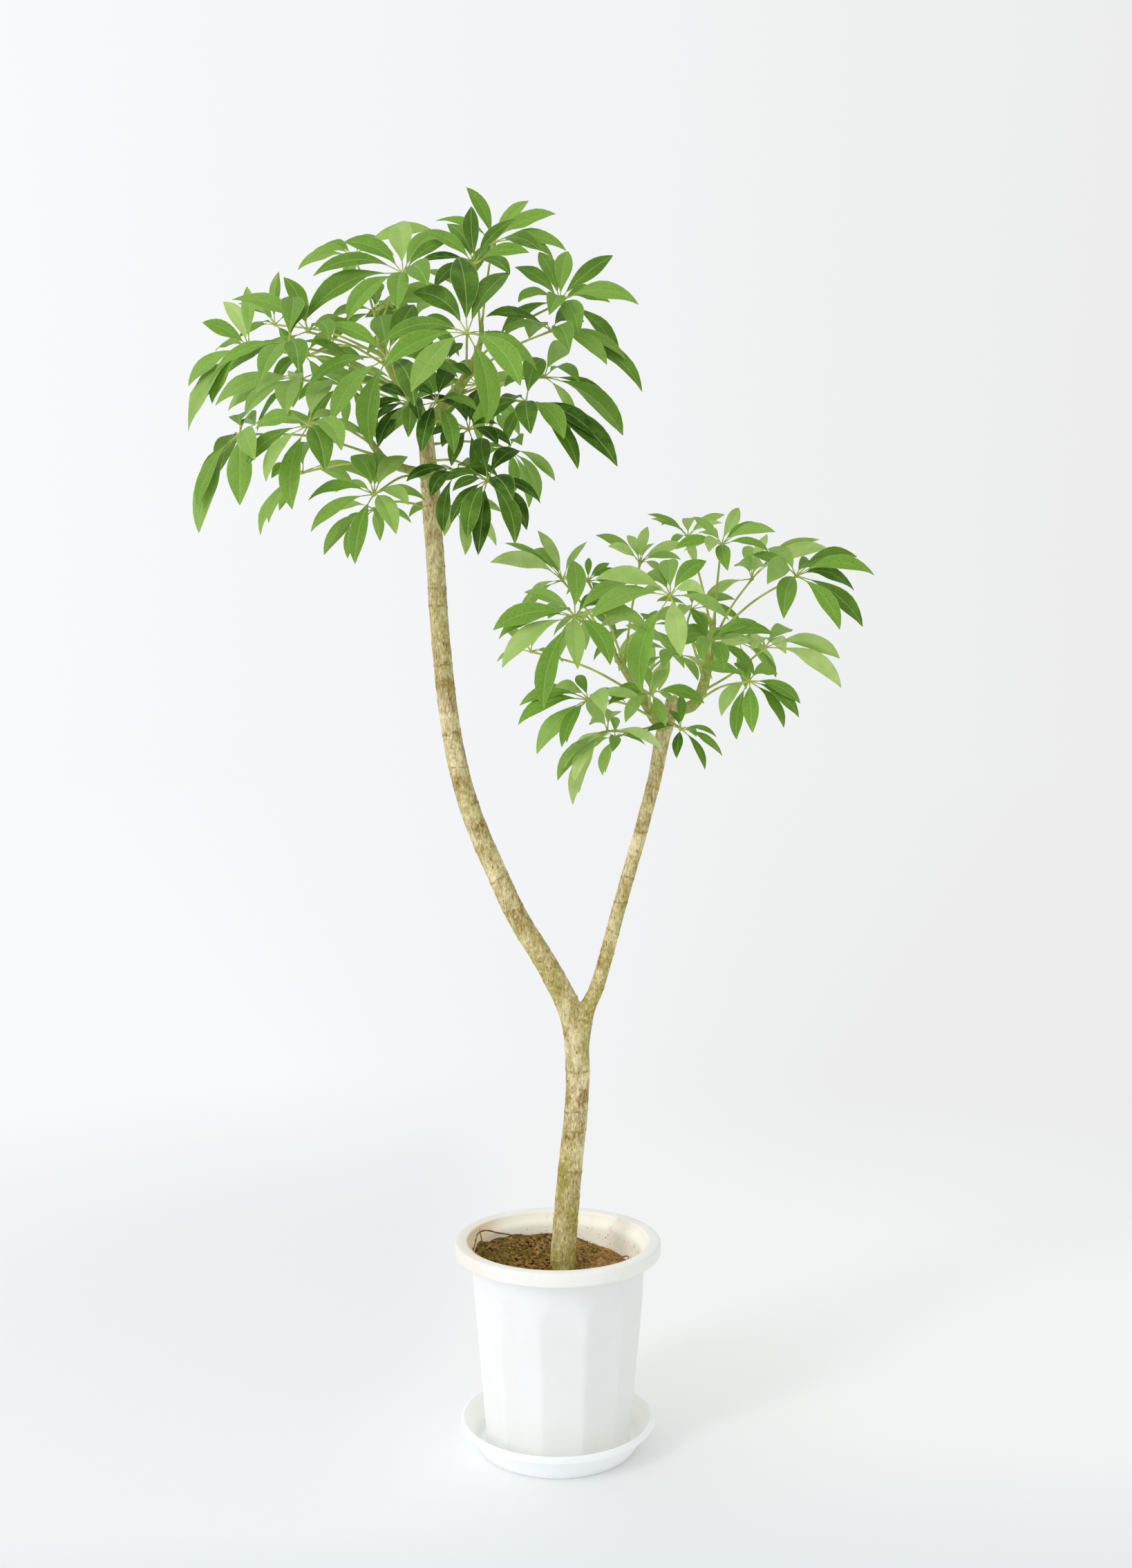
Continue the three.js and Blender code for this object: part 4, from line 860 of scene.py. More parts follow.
class PotOperator(bpy.types.Operator):
    """Adds the pot, round at its rolled rim and flat on twelve arched sides below it"""
    bl_idname = "plant.pot"
    bl_label = "Pot"

    STEPS = 360

    # The flats: where they end, how round their corners are in radians, and how softly they meet the wall
    FLATS_END = 271
    ROUNDING = 0.022
    BLEND = 0.4

    # The rim: how deep it is inside, and how much of the inside's yellow and stronger painted glow it has
    RIM_DEPTH = 18
    RIM_YELLOWED = 0.3

    # Its plastic: how rough, the size of its faint ripple in millimetres, and how strong its painted glow is
    ROUGHNESS = 0.36
    RIPPLE = 2.5
    PAINTED_GLOW = 0.02

    def outline(self, top, rim, mouth):
        """The pot's outline, from its middle underneath over the rolled rim to its floor inside."""
        profile = [(0, 7), (94, 7), (94, SAUCER_FLOOR), (POT_FOOT_RADIUS - 1.5, SAUCER_FLOOR)]
        heights = (5.5, 30, 60, 90, 120, 150, 180, 200, *range(205, self.FLATS_END + 1, 3))
        profile += [(corner_radius(z), z) for z in heights]
        profile += [(POT_TOP_RADIUS + 1.5, top - 21), (rim - 5, top - 20.4)]
        profile += rounded((rim - 2.8, top - 17.4), 2.2, -80, 0, 4)
        profile += rounded((rim - 4.4, top - 4.4), 4.2, 4, 76, 6)
        profile += [((rim + mouth) / 2, top)]
        profile += rounded((mouth + 3.4, top - 4), 3.4, 84, 172, 6)
        profile += [(ROUND_INSIDE + 5.5, top - 12), (ROUND_INSIDE + 1.5, top - 15), (ROUND_INSIDE, top - 20)]
        profile += [(wall_radius(z), z) for z in (265, ROUND_FROM, CORNER_TOP, 150, 100, 50, FLOOR_TOP)]
        return profile + [(0, FLOOR_TOP)]

    def flattened(self, rows, reach, height):
        """How far out each point is once the wall has its twelve flats, which run out into arches."""
        outside = (reach > corner_radius(height) - 1) & (height > SAUCER_FLOOR + 1)
        outside &= height < self.FLATS_END
        turn = np.arctan2(rows[:, 0], -rows[:, 1]) - FACET_TURN
        offset = np.mod(turn, FACET_STEP) - FACET_STEP / 2
        edge = FACET_STEP / 2 - np.abs(offset)
        soft = FACET_STEP / 2 - np.sqrt(edge ** 2 + self.ROUNDING ** 2)
        flat = leaning_radius(height) * math.cos(FACET_STEP / 2) / np.cos(soft)
        blend = np.sqrt((flat - POT_TOP_RADIUS) ** 2 + self.BLEND ** 2)
        return np.where(outside, (flat + POT_TOP_RADIUS - blend) / 2, reach)

    def execute(self, context):
        sizes = context.scene.plant_pot
        top = sizes.rim_top / MM
        mouth = sizes.mouth_radius / MM
        body = spun("pot_body", self.outline(top, sizes.rim_radius / MM, mouth), self.STEPS)
        rows = points_of(body) / MM
        reach = np.hypot(rows[:, 0], rows[:, 1])
        height = rows[:, 2]
        drawn = self.flattened(rows, reach, height)
        wall = np.where(height < top - self.RIM_DEPTH, corner_radius(height) - 2, mouth + 1)
        lining = (height > FLOOR_TOP - 1) & (reach < wall)
        yellowed = self.RIM_YELLOWED * (height > top - self.RIM_DEPTH - 1)
        rows[:, :2] *= (drawn / np.maximum(reach, 1e-6))[:, None]
        move_points(body, rows * MM)
        number(body, "inside", np.maximum(lining, yellowed))
        plastic = finished(
            "moulded_polypropylene_pot", moulded_plastic, sizes, sizes.cream, sizes.stain_and_shade,
            self.ROUGHNESS, self.RIPPLE, self.PAINTED_GLOW)
        dressed(body, "pot_plastic", plastic, ["pot"], SHARP_EDGE)
        return {"FINISHED"}


def soil_height(x, y):
    """The height of the soil's top, in millimetres, which falls to the right and is piled at the left."""
    piled = 8 * gentle(-x, 92, 118)
    lumps = 1.6 * np.sin(x / 17 + 1.3) * np.cos(y / 21) + 1.1 * np.sin(x / 8 + y / 11)
    return SOIL_LEVEL - SOIL_FALL * x + SOIL_RISE_BACK * y + piled + lumps


class SoilOperator(bpy.types.Operator):
    """Adds the crumbly soil that fills the pot, with moss on its top"""
    bl_idname = "plant.soil"
    bl_label = "Soil"

    RINGS = 84
    STEPS = 320
    WALL_GAP = 0.6
    FOOT = FLOOR_TOP + 0.5

    # What the top is made of: the size of each part and how high it stands, in millimetres
    LUMP = 13.0
    LUMP_RISE = 3.4
    CLOD = 5.5
    CLOD_RISE = 3.4
    GRAIN = 2.4
    GRAIN_RISE = 2.0
    MOSS_PATCH = 26.0
    MOSS_RISE = 1.2
    STIRRED = 5.0
    STIRRED_BY = 2.2

    def surface(self, flat, edge):
        """The top's height at its points, in millimetres, and how mossy and how hollow it is there.

        Each noise is read some way off from the others, so that none of them line up."""
        x, y = flat[:, 0], flat[:, 1]
        stirred = np.stack([crumbs(flat, self.STIRRED), crumbs(flat + 90, self.STIRRED), 0 * x], axis=1)
        bent = flat + self.STIRRED_BY * stirred
        clods = 0.5 - 0.6 * crumbs(bent, self.CLOD)
        grains = 0.5 - 0.6 * crumbs(bent + 50, self.GRAIN)
        moss = gentle(crumbs(flat + 400, self.MOSS_PATCH) - 0.003 * x, 0.14, 0.34)
        relief = self.LUMP_RISE * crumbs(flat, self.LUMP) + self.CLOD_RISE * (0.5 - clods)
        relief = relief + self.GRAIN_RISE * (0.5 - grains) + self.MOSS_RISE * moss
        held = gentle(np.hypot(x, y), edge, edge - 6)
        return soil_height(x, y) + relief * (0.4 + 0.6 * held), moss, np.clip((clods + grains) / 2, 0, 1)

    def execute(self, context):
        edge = wall_radius(SOIL_LEVEL) - self.WALL_GAP
        profile = [(edge * i / self.RINGS, SOIL_LEVEL) for i in range(self.RINGS + 1)]
        profile += [(wall_radius(z) - self.WALL_GAP, z) for z in (235, CORNER_TOP, 150, 80, self.FOOT)]
        soil = spun("soil_fill", profile + [(0, self.FOOT)], self.STEPS)
        rows = points_of(soil) / MM
        top = rows[:, 2] > SOIL_LEVEL - 1
        numbers = np.zeros((2, len(rows)))
        rows[top, 2], numbers[0, top], numbers[1, top] = self.surface(rows[top], edge)
        move_points(soil, rows * MM)
        number(soil, "moss", numbers[0])
        number(soil, "hollow", numbers[1])
        crumbly = finished("crumbly_potting_soil", potting_soil, context.scene.plant_soil)
        dressed(soil, "potting_soil", crumbly, ["soil"])
        return {"FINISHED"}


# Roots that show on the soil, (across, up, depth, radius) as seen. The first loops up against the pot's wall.
ROOTS = [
    [
        (-123, 276, -12, 1.5), (-119, 289, 5, 1.4), (-117, 299, 15, 1.3), (-104, 306, 50, 1.2),
        (-85, 302, 75, 1.2), (-70, 300, 88, 1.1), (-58, 296, 97, 1.0),
    ],
    [(-112, 272, 10, 1.3), (-110, 290, 30, 1.1), (-112, 302, 34, 0.8), (-113, 308, 34, 0.5)],
    [(-116, 280, 6, 1.1), (-108, 276, 10, 1.2), (-98, 284, 26, 1.0), (-88, 287, 40, 0.9)],
    [(88, 262, 60, 1.0), (95, 268, 54, 0.9), (103, 268, 48, 0.9), (100, 262, 44, 0.8), (88, 256, 40, 0.8)],
]


def scattered(draw, reach, nearest):
    """A place drawn on the soil: its turn about the axis, and x and y in millimetres."""
    turn = draw.uniform(0, FULL_TURN)
    out = reach * math.sqrt(draw.uniform(nearest, 1))
    return turn, out * math.cos(turn), out * math.sin(turn)


class RootsOperator(bpy.types.Operator):
    """Adds the thin roots and the grit that lie on the soil"""
    bl_idname = "plant.roots"
    bl_label = "Roots and grit"

    SEED = 41

    # The roots that are drawn at random, in millimetres, and their headings and turns in radians
    SURFACE_ROOTS = 26
    ROOT_BENDS = 5
    ROOT_STEPS = 24
    ROOT_REACH = 112
    ROOT_HEADINGS = (1.2, 2.0)
    ROOT_TURN = 0.7
    ROOT_RISES = (0.5, 4.5)
    ROOT_PACES = (6, 13)
    ROOT_RADII = (0.6, 1.0)
    ROOT_TIP = 0.25
    MOST_REACH = 114

    # The grit, in millimetres: the first stones are big, and the first of those lie at the right
    STONES = 90
    STONE_REACH = 113
    STONE_SIZES = (0.8, 2.2)
    BIG_STONES = 4
    BIG_SIZES = (2.6, 3.6)
    STRETCHES = (0.75, 1.2)
    RIGHT_STONES = 2

    def wandering(self, draw):
        """Points of a root that wanders over the soil, in millimetres."""
        turn, x, y = scattered(draw, self.ROOT_REACH, 0.1)
        heading = turn + draw.uniform(*self.ROOT_HEADINGS)
        path = []
        for _ in range(self.ROOT_BENDS):
            path.append((x, y, soil_height(x, y) + draw.uniform(*self.ROOT_RISES)))
            heading += draw.uniform(-self.ROOT_TURN, self.ROOT_TURN)
            step = draw.uniform(*self.ROOT_PACES)
            x, y = x + step * math.cos(heading), y + step * math.sin(heading)
            short = min(1.0, self.MOST_REACH / math.hypot(x, y))
            x, y = x * short, y * short
        return path

    def add_roots(self, draw, colours):
        """The roots, as one piece."""
        shape = cylinder("root_shape", 6, 18)
        shares = np.linspace(0, 1, self.ROOT_STEPS)
        roots = [tube(shape, *traced(rows, shares)) for rows in ROOTS]
        for _ in range(self.SURFACE_ROOTS):
            line, _ = along(self.wandering(draw), shares)
            thick = draw.uniform(*self.ROOT_RADII)
            roots.append(tube(shape, line, np.linspace(thick, self.ROOT_TIP, len(shares))))
        # Thin woody roots: brown, dull and unevenly pale along their length.
        bark = finished("dry_root_bark", two_toned, 7, 0.35, 0.65, 3.0, colours.root, colours.root_tip, 0.8)
        dressed(joined(roots, "surface_roots"), "potting_soil", bark)
        dropped(shape)

    def add_grit(self, draw):
        """The pellets and crumbs, as one piece. Two big ones lie at the right, as in the photograph."""
        deselect()
        bpy.ops.mesh.primitive_ico_sphere_add(subdivisions=1, radius=1)
        stone = bpy.context.object
        apply_modifier(stone, "SUBSURF", levels=1, render_levels=1)
        ball = points_of(stone)
        stones = []
        for i in range(self.STONES):
            _, x, y = scattered(draw, self.STONE_REACH, 0)
            size = draw.uniform(*(self.BIG_SIZES if i < self.BIG_STONES else self.STONE_SIZES))
            if i < self.RIGHT_STONES:
                x, y = 75 + 12 * i, 20 + 30 * i
            lumpy = 1 + 0.3 * crumbs(ball * 1.3 + 7 * i, 1.0)[:, None]
            rows = ball * lumpy * draw.uniform(*self.STRETCHES, 3) * size
            place = np.array((x, y, soil_height(x, y) + 2.0 + 0.3 * size))
            stones.append(copied(stone, (rows + place) * MM))
        # Small stones and crumbs in the compost: greyish and pale, each a little different.
        grit = finished(
            "grey_grit", two_toned, 9, 0.42, 0.58, 1.0, linear("#8d8a72"), linear("#6b5a38"), 0.85)
        dressed(joined(stones, "soil_grit"), "potting_soil", grit)
        dropped(stone)

    def execute(self, context):
        draw = np.random.default_rng(self.SEED)
        self.add_roots(draw, context.scene.plant_soil)
        self.add_grit(draw)
        return {"FINISHED"}


# Which stems are woody, and the tips of green growth that stand on the shoots: place as seen, lean, length
# and radius.
WOODY = ("stem_left", "stem_right", "top")
BUDS = [
    ((-110, 1600, 18), (0.02, -0.1, 1), 30, 4.2), ((-104, 1592, 12), (0.3, -0.5, 1), 20, 3.2),
    ((-261, 1614, -30), (-0.1, -0.2, 1), 24, 4.6), ((-254, 1606, -34), (0.3, -0.5, 1), 16, 3.4),
    ((-279, 1464, -36), (-0.2, -0.2, 1), 22, 3.8), ((85, 1131, -26), (-0.15, -0.3, 1), 24, 3.6),
    ((226, 1181, 4), (0.05, -0.2, 1), 24, 3.6), ((92, 1122, -30), (0.35, -0.5, 1), 15, 3.0),
    ((-185, 1392, 0), (0.1, 0.1, 1), 10, 8), ((168, 1072, 4), (0.1, -0.1, 1), 9, 9),
]


class StemsOperator(bpy.types.Operator):
    """Adds the woody stems and green shoots as one grown piece with leaf-scar rings"""
    bl_idname = "plant.stems"
    bl_label = "Stems"

    SEED = 7

    # How much thinner the wood is than its rows say, because bark is laid on it, in millimetres
    UNDER_BARK = 0.4
    STEPS = 90
    CLOSE_STEPS = 540
    BUD_STEPS = 12
    BUD_ROOT = 4

    # Leaf-scar rings, in millimetres: how far apart on wood and on shoots, how wide and how high. Every
    # stem's rings are counted from a start of its own, far from the others'.
    WOOD_GAPS = (26, 66)
    SHOOT_GAPS = (9, 17)
    RINGS = 60
    RING_WIDTH = 2.2
    RING_RISE = 0.6
    RING_SLANT = 2.5
    SLANT_RUN = 19
    SCAR_WIDTH = 0.9
    SCAR_PATCH = 28.0
    STEM_START = 10000

    # The bark's relief: size and height of its lumps and of its fine grain, in millimetres
    LUMPS = (9.0, 0.5)
    GRAIN = (4.5, 0.35)
    FULL_RELIEF_FROM = 15
    SKIN_DEPTH = 2.5

    def grown(self, grain):
        """Every stem, shoot and bud as one skin."""
        shape = cylinder("stem_shape", 20, 60)
        parts = []
        for rows in STEMS.values():
            line, radii = traced(rows, np.linspace(0, 1, self.STEPS))
            parts.append(tube(shape, line, radii - self.UNDER_BARK))
        taper = np.sqrt(np.clip(1 - np.linspace(0, 1, self.BUD_STEPS) ** 1.6, 0.02, 1))
        for place, lean, tall, wide in BUDS:
            steps = np.linspace(-self.BUD_ROOT, tall, self.BUD_STEPS)[:, None]
            line = seen(*place) + unit(np.array(lean, float)) * steps
            parts.append(tube(shape, line, wide * taper))
        wood = joined(parts, "woody_stems")
        dropped(shape)
        apply_modifier(wood, "REMESH", mode="VOXEL", voxel_size=grain)
        apply_modifier(wood, "SMOOTH", iterations=6, factor=0.5)
        return wood

    def charted(self, draw):
        """Close points in every stem: place, radius, way along it and greenness. Last, its rings."""
        steps = np.linspace(0, 1, self.STEPS)
        closer = np.linspace(0, 1, self.CLOSE_STEPS)
        stems = []
        for i, (name, rows) in enumerate(STEMS.items()):
            start = self.STEM_START * i
            run = run_along(traced(rows, steps)[0])
            centres, radii = traced(rows, closer)
            woody = name in WOODY
            gaps = draw.uniform(*(self.WOOD_GAPS if woody else self.SHOOT_GAPS), self.RINGS)
            greens = np.full(len(closer), 0.0 if woody else 1.0)
            stems.append((
                centres, radii - self.UNDER_BARK, np.interp(closer, steps, run) + start, greens,
                np.cumsum(gaps) + start,
            ))
        return [np.concatenate(values) for values in zip(*stems)]

    def execute(self, context):
        settings = context.scene.plant_stems
        wood = self.grown(settings.grain)
        centres, radii, runs, greens, rings = self.charted(np.random.default_rng(self.SEED))
        rings = np.sort(rings)
        tree = tree_of(centres)
        rows = points_of(wood) / MM
        nearest = np.array([tree.find(row)[1] for row in rows])
        out = rows - centres[nearest]
        reach = np.linalg.norm(out, axis=1)
        out /= np.maximum(reach, 0.1)[:, None]
        slant = np.sin(np.arctan2(out[:, 1], out[:, 0]) + runs[nearest] / self.SLANT_RUN)
        run = runs[nearest] + self.RING_SLANT * slant
        after = np.clip(np.searchsorted(rings, run), 1, len(rings) - 1)
        off = np.minimum(np.abs(run - rings[after - 1]), np.abs(run - rings[after]))
        relief = self.RING_RISE * np.exp(-(off / self.RING_WIDTH) ** 2)
        for stretch, (size, height) in ((0.4, self.LUMPS), (0.6, self.GRAIN)):
            relief = relief + height * crumbs(rows * (1, 1, stretch), size)
        thin = np.clip(radii[nearest] / self.FULL_RELIEF_FROM, 0.3, 1)
        on_skin = reach > radii[nearest] - self.SKIN_DEPTH
        swell = relief * thin * on_skin
        move_points(wood, (rows + out * swell[:, None]) * MM)
        shown = gentle(crumbs(rows, self.SCAR_PATCH), -0.3, 0.3)
        number(wood, "scar", np.exp(-(off / self.SCAR_WIDTH) ** 2) * (0.25 + 0.6 * shown))
        number(wood, "shoot", greens[nearest] * 0.7)
        dressed(wood, "bark", finished("tan_bark_with_leaf_scars", young_bark, settings), ["stems"])
        return {"FINISHED"}


def rib_bend(chord):
    """How far a leaflet's rib bends, in radians: a level one most, and one that hangs or stands less."""
    steep = chord[2] / np.linalg.norm(chord)
    lost = BEND_LOST_RISING if steep > 0 else BEND_LOST_HANGING
    return math.radians(LEVEL_BEND - lost * abs(steep))


def rib_length(chord):
    """How long the bent rib is whose ends lie a chord apart."""
    half = rib_bend(chord) / 2
    return np.linalg.norm(chord) * half / math.sin(half)


def rib_angle(chord, share):
    """How steeply the rib climbs at a share of its length, in radians."""
    return math.atan2(chord[2], math.hypot(chord[0], chord[1])) + rib_bend(chord) * (0.5 - share)


def headed(chord, out, climb):
    """Steps that go out on the chord's heading and up, as x, y and z."""
    heading = math.atan2(chord[1], chord[0])
    return np.stack([out * math.cos(heading), out * math.sin(heading), climb], axis=-1)


def rib_ahead(chord, share):
    """The unit direction along the rib at shares of its length."""
    rise = rib_angle(chord, np.asarray(share, float))
    return headed(chord, np.cos(rise), np.sin(rise))


def rib_place(hub, chord, share):
    """The place on the rib at shares of its length."""
    bend = rib_bend(chord)
    first = rib_angle(chord, 0.0)
    rise = rib_angle(chord, np.asarray(share, float))
    out = (math.sin(first) - np.sin(rise)) / bend
    climb = (np.cos(rise) - math.cos(first)) / bend
    return hub + rib_length(chord) * headed(chord, out, climb)


def rib_frame(chord, axis, share):
    """The directions ahead, across and up from the blade at shares of the rib's length."""
    ahead = rib_ahead(chord, share)
    side = unit(np.cross(rib_ahead(chord, 0.5 / RIB_STEPS), axis))
    side = side - ahead * (ahead @ side)[..., None]
    side /= np.linalg.norm(side, axis=-1)[..., None]
    return ahead, -side, np.cross(side, ahead)


def petiole_line(root, hub, bow):
    """Root, middle and hub of a leaf's stalk, bowed to the side and up."""
    run = hub - root
    tall = np.linalg.norm(run)
    middle = root + run / 2 + unit(np.cross(run, (0, 0, 1))) * bow[0] * tall
    middle[2] += (PETIOLE_ARCH + bow[1]) * tall
    return [root, middle, hub]


def found_tips(corners, hub, axis):
    """The tips of a leaf's leaflets, read from its frame node.

    A corner is a tip if the points that the part's rule puts round a leaflet with that tip are there too."""
    share, spread = OUTER_STATION
    tree = tree_of(corners)
    tips = []
    for corner in corners:
        chord = corner - hub
        if np.linalg.norm(chord) < SHORTEST_LEAFLET:
            continue
        half = rib_length(chord) * (1 - STALK_SHARE) * BLADE_WIDTH * spread / 2
        centre = rib_place(hub, chord, share)
        _, across, up = rib_frame(chord, axis, share)
        lift = up * BLADE_THICKNESS / 2
        ring = (centre + across * half + lift, centre - across * half + lift, centre - lift)
        if sum(tree.find(point)[2] < SAME_POINT for point in ring) >= 2:
            tips.append(corner)
    return tips


class LeavesOperator(bpy.types.Operator):
    """Adds every leaf: its stalk, hub and arching leaflets, placed where the frame's leaf has them"""
    bl_idname = "plant.leaves"
    bl_label = "Leaves"

    SEED = 900

    # The modelled blade, in millimetres: its length, half width and fold, and the rows across it
    BLADE = 100.0
    HALF_WIDTH = 15.2
    FOLD = 0.36
    FOLD_EASED = 0.009
    STATIONS = 10
    NARROWEST = 0.03

    # Where a blade starts on its rib, and how far the leaflet's stalk runs on under it
    BLADE_START = 0.16
    STALK_OVERLAP = 0.03

    # How a blade turns to the light: what share of the way, the most in radians, and where on its rib
    FACING = 0.4
    MOST_TURN = 0.85
    TURN_READ_AT = 0.6
    TURNED_BY = 0.45

    # How leaflets differ: width, depth and number of waves, fold, roll and twist, sweep, and tone
    WIDTHS = (0.86, 1.08)
    WAVE_DEPTHS = (0.3, 1.1)
    WAVES = (6, 12)
    FOLDS = (0.4, 1.5)
    MOST_ROLL = 0.2
    MOST_TWIST = 0.3
    MOST_SWEEP = 0.1
    LEAF_TONES = (-0.15, 0.15)
    LEAFLET_TONES = (-0.55, 0.5)

    # Leaflets added on the far side: how many are tried, the narrowest gap that takes one, in radians, and
    # how far round to the front they may be
    MORE = 2
    WIDE_GAP = 0.9
    FAR_SIDE = 0.25
    DIPS = (0.25, 0.65)
    LENGTHS = (0.7, 0.92)

    # A leaf's stalk and hub and a leaflet's stalk, in millimetres
    PETIOLE_SHARES = (0, 0.05, 0.14, 0.9, 1)
    PETIOLE_RADII = (3.4, 2.6, 1.8, 1.5, 1.9)
    PETIOLE_STEPS = 25
    PETIOLE_MIDDLE = slice(4, 20)
    PETIOLE_REACH = 3.4
    HUB_SIZE = (3.2, 3.2, 2.6)
    STALK_RADII = np.array((1.5, 1.1, 0.95, 0.9, 0.9, 0.95, 0.5))

    def outline(self, share):
        """The blade's half width at a share of its length, as a share of the widest."""
        return max(self.NARROWEST, math.sin(math.pi * share ** 1.12)) ** 0.92

    def flat_blade(self):
        """A flat blade, widened row by row to its outline."""
        deselect()
        bpy.ops.mesh.primitive_grid_add(
            x_subdivisions=self.STATIONS, y_subdivisions=4, size=1, location=(0.5, 0, 0))
        bpy.ops.object.transform_apply(location=True)
        bpy.ops.object.mode_set(mode="EDIT")
        for i in range(self.STATIONS + 1):
            share = i / self.STATIONS
            pick(lambda co, share=share: abs(co.x - share) < 0.01)
            bpy.ops.transform.resize(value=(1, 2 * self.HALF_WIDTH * self.outline(share), 1))
        bpy.ops.mesh.select_all(action="SELECT")
        bpy.ops.transform.resize(value=(self.BLADE, 1, 1), center_override=(0, 0, 0))
        bpy.ops.object.mode_set(mode="OBJECT")
        return bpy.context.object

    def blade(self, thickness):
        """A straight blade, folded along its midrib: an upper and a lower face that meet at the margin."""
        leaf = self.flat_blade()
        rows = points_of(leaf)
        shares = rows[:, 0] / self.BLADE
        aside = np.abs(rows[:, 1])
        margin = aside / [self.HALF_WIDTH * self.outline(min(max(share, 0.0), 1.0)) for share in shares]
        rows[:, 2] = self.FOLD * aside - self.FOLD_EASED * aside ** 2
        number(leaf, "margin", margin)
        sheet = leaf.data.uv_layers.active
        sheet.name = "blade"
        for loop in leaf.data.loops:
            x, y, _ = rows[loop.vertex_index]
            sheet.data[loop.index].uv = (y * MM, x * MM)
        inner = (margin < 0.99) * (shares > 0.01) * (shares < 0.99)
        half = (thickness / MM / 2 * inner)[:, None] * (0, 0, 1)
        lower = copied(leaf, rows - half)
        lower.data.flip_normals()
        for face in lower.data.polygons:
            face.material_index = 1
        move_points(leaf, rows + half)
        leaf = joined([leaf, lower], "blade_shape")
        bpy.ops.object.mode_set(mode="EDIT")
        bpy.ops.mesh.select_all(action="SELECT")
        bpy.ops.mesh.remove_doubles(threshold=0.01)
        bpy.ops.object.mode_set(mode="OBJECT")
        smooth(leaf, 30)
        return leaf

    def modelled(self, settings):
        """The blade, the stalks and the hub that every leaf is copied from, with their finishes."""
        blade = self.blade(settings.thickness)
        shared = (settings.pale, settings.rib, settings.through)
        faces = (
            ("waxy_leaf_upper_face", settings.deep, settings.fresh, 0.4, 0.3, 0.26),
            ("dull_leaf_underside", settings.under, settings.under_fresh, 0.65, 0.45, 0.1),
        )
        for name, deep, fresh, rough, glow, gloss in faces:
            blade.data.materials.append(finished(name, living_leaf, deep, fresh, *shared, rough, glow, gloss))
        # Green leaf stalks: smooth, faintly glossy skin, paler than the blades.
        skin = finished(
            "green_stalk_skin", two_toned, 30, 0.35, 0.65, 3.0, settings.stalk, settings.stalk_pale, 0.45)
        stalk = cylinder("leaflet_stalk_shape", 6, 4)
        petiole = cylinder("leaf_stalk_shape", 10, 14)
        deselect()
        bpy.ops.mesh.primitive_uv_sphere_add(segments=10, ring_count=7, radius=1)
        knob = bpy.context.object
        for shape in (stalk, petiole, knob):
            shape.data.materials.append(skin)
            smooth(shape)
        return blade, stalk, petiole, knob

    def execute(self, context):
        shapes = self.modelled(context.scene.plant_leaves)
        blade, stalk, petiole, knob = shapes
        flat, ball = points_of(blade), points_of(knob)
        stalk_shares = np.linspace(0, self.BLADE_START + self.STALK_OVERLAP, len(self.STALK_RADII))
        for index, (name, stem, place, hub_seen, lean, age_and_light) in enumerate(LEAVES):
            draw = np.random.default_rng(self.SEED + index)
            node = "leaf_" + name
            corners = np.unique(np.round(points_of(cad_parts[node]) / MM, 2), axis=0)
            hub = seen(*hub_seen)
            axis = unit(np.array((lean[0], -lean[1], 1.0)))
            root = traced(STEMS[stem], [place])[0][0]
            line = self.stalk_line(corners, root, hub)
            radii = np.interp(np.linspace(0, 1, len(line)), self.PETIOLE_SHARES, self.PETIOLE_RADII)
            pieces = [tube(petiole, line, radii), copied(knob, (ball * self.HUB_SIZE + hub) * MM)]
            tips = found_tips(corners, hub, axis)
            if not tips:
                raise RuntimeError(f"no leaflets were found in the frame's {node}")
            # The leaf's tone holds painted light and shade as well as how old it is
            tone = age_and_light + draw.uniform(*self.LEAF_TONES)
            for chord in self.filled([tip - hub for tip in tips], hub, axis, draw):
                pieces.append(tube(stalk, rib_place(hub, chord, stalk_shares), self.STALK_RADII))
                pieces.append(self.leaflet(blade, flat, hub, chord, axis, draw, tone))
            placed(joined(pieces, "foliage_" + name), "leaf", node)
        dropped(*shapes)
        return {"FINISHED"}

    def stalk_line(self, corners, root, hub):
        """The line of the leaf's stalk, with the bow that the frame's leaf has."""
        best, line = -1, None
        for bow in BOWS:
            bowed, _ = along(petiole_line(root, hub, bow), np.linspace(0, 1, self.PETIOLE_STEPS))
            middle = bowed[self.PETIOLE_MIDDLE]
            near = np.linalg.norm(corners[:, None] - middle[None], axis=2).min(axis=1)
            score = np.sum(near < self.PETIOLE_REACH)
            if score > best:
                best, line = score, bowed
        return line

    def filled(self, chords, hub, axis, draw):
        """A leaf's lines from hub to tips, with shorter ones added in the widest gaps on its far side."""
        across = unit(np.array((1.0, 0, 0)) - axis * axis[0])
        ahead = np.cross(axis, across)
        towards = unit(EYE - hub)
        usual = np.mean([np.linalg.norm(chord) for chord in chords])
        turns = [math.atan2(chord @ ahead, chord @ across) for chord in chords]
        made = list(chords)
        for _ in range(self.MORE):
            ordered = sorted(turns)
            following = [*ordered[1:], ordered[0] + FULL_TURN]
            wide, start = max((after - before, before) for before, after in zip(ordered, following))
            turn = start + wide * draw.uniform(0.4, 0.6)
            out = across * math.cos(turn) + ahead * math.sin(turn)
            turns.append(turn if turn < math.pi else turn - FULL_TURN)
            if wide > self.WIDE_GAP and out @ towards < self.FAR_SIDE:
                dip = draw.uniform(*self.DIPS)
                down = out * math.cos(dip) - axis * math.sin(dip)
                made.append(down * usual * draw.uniform(*self.LENGTHS))
        return made

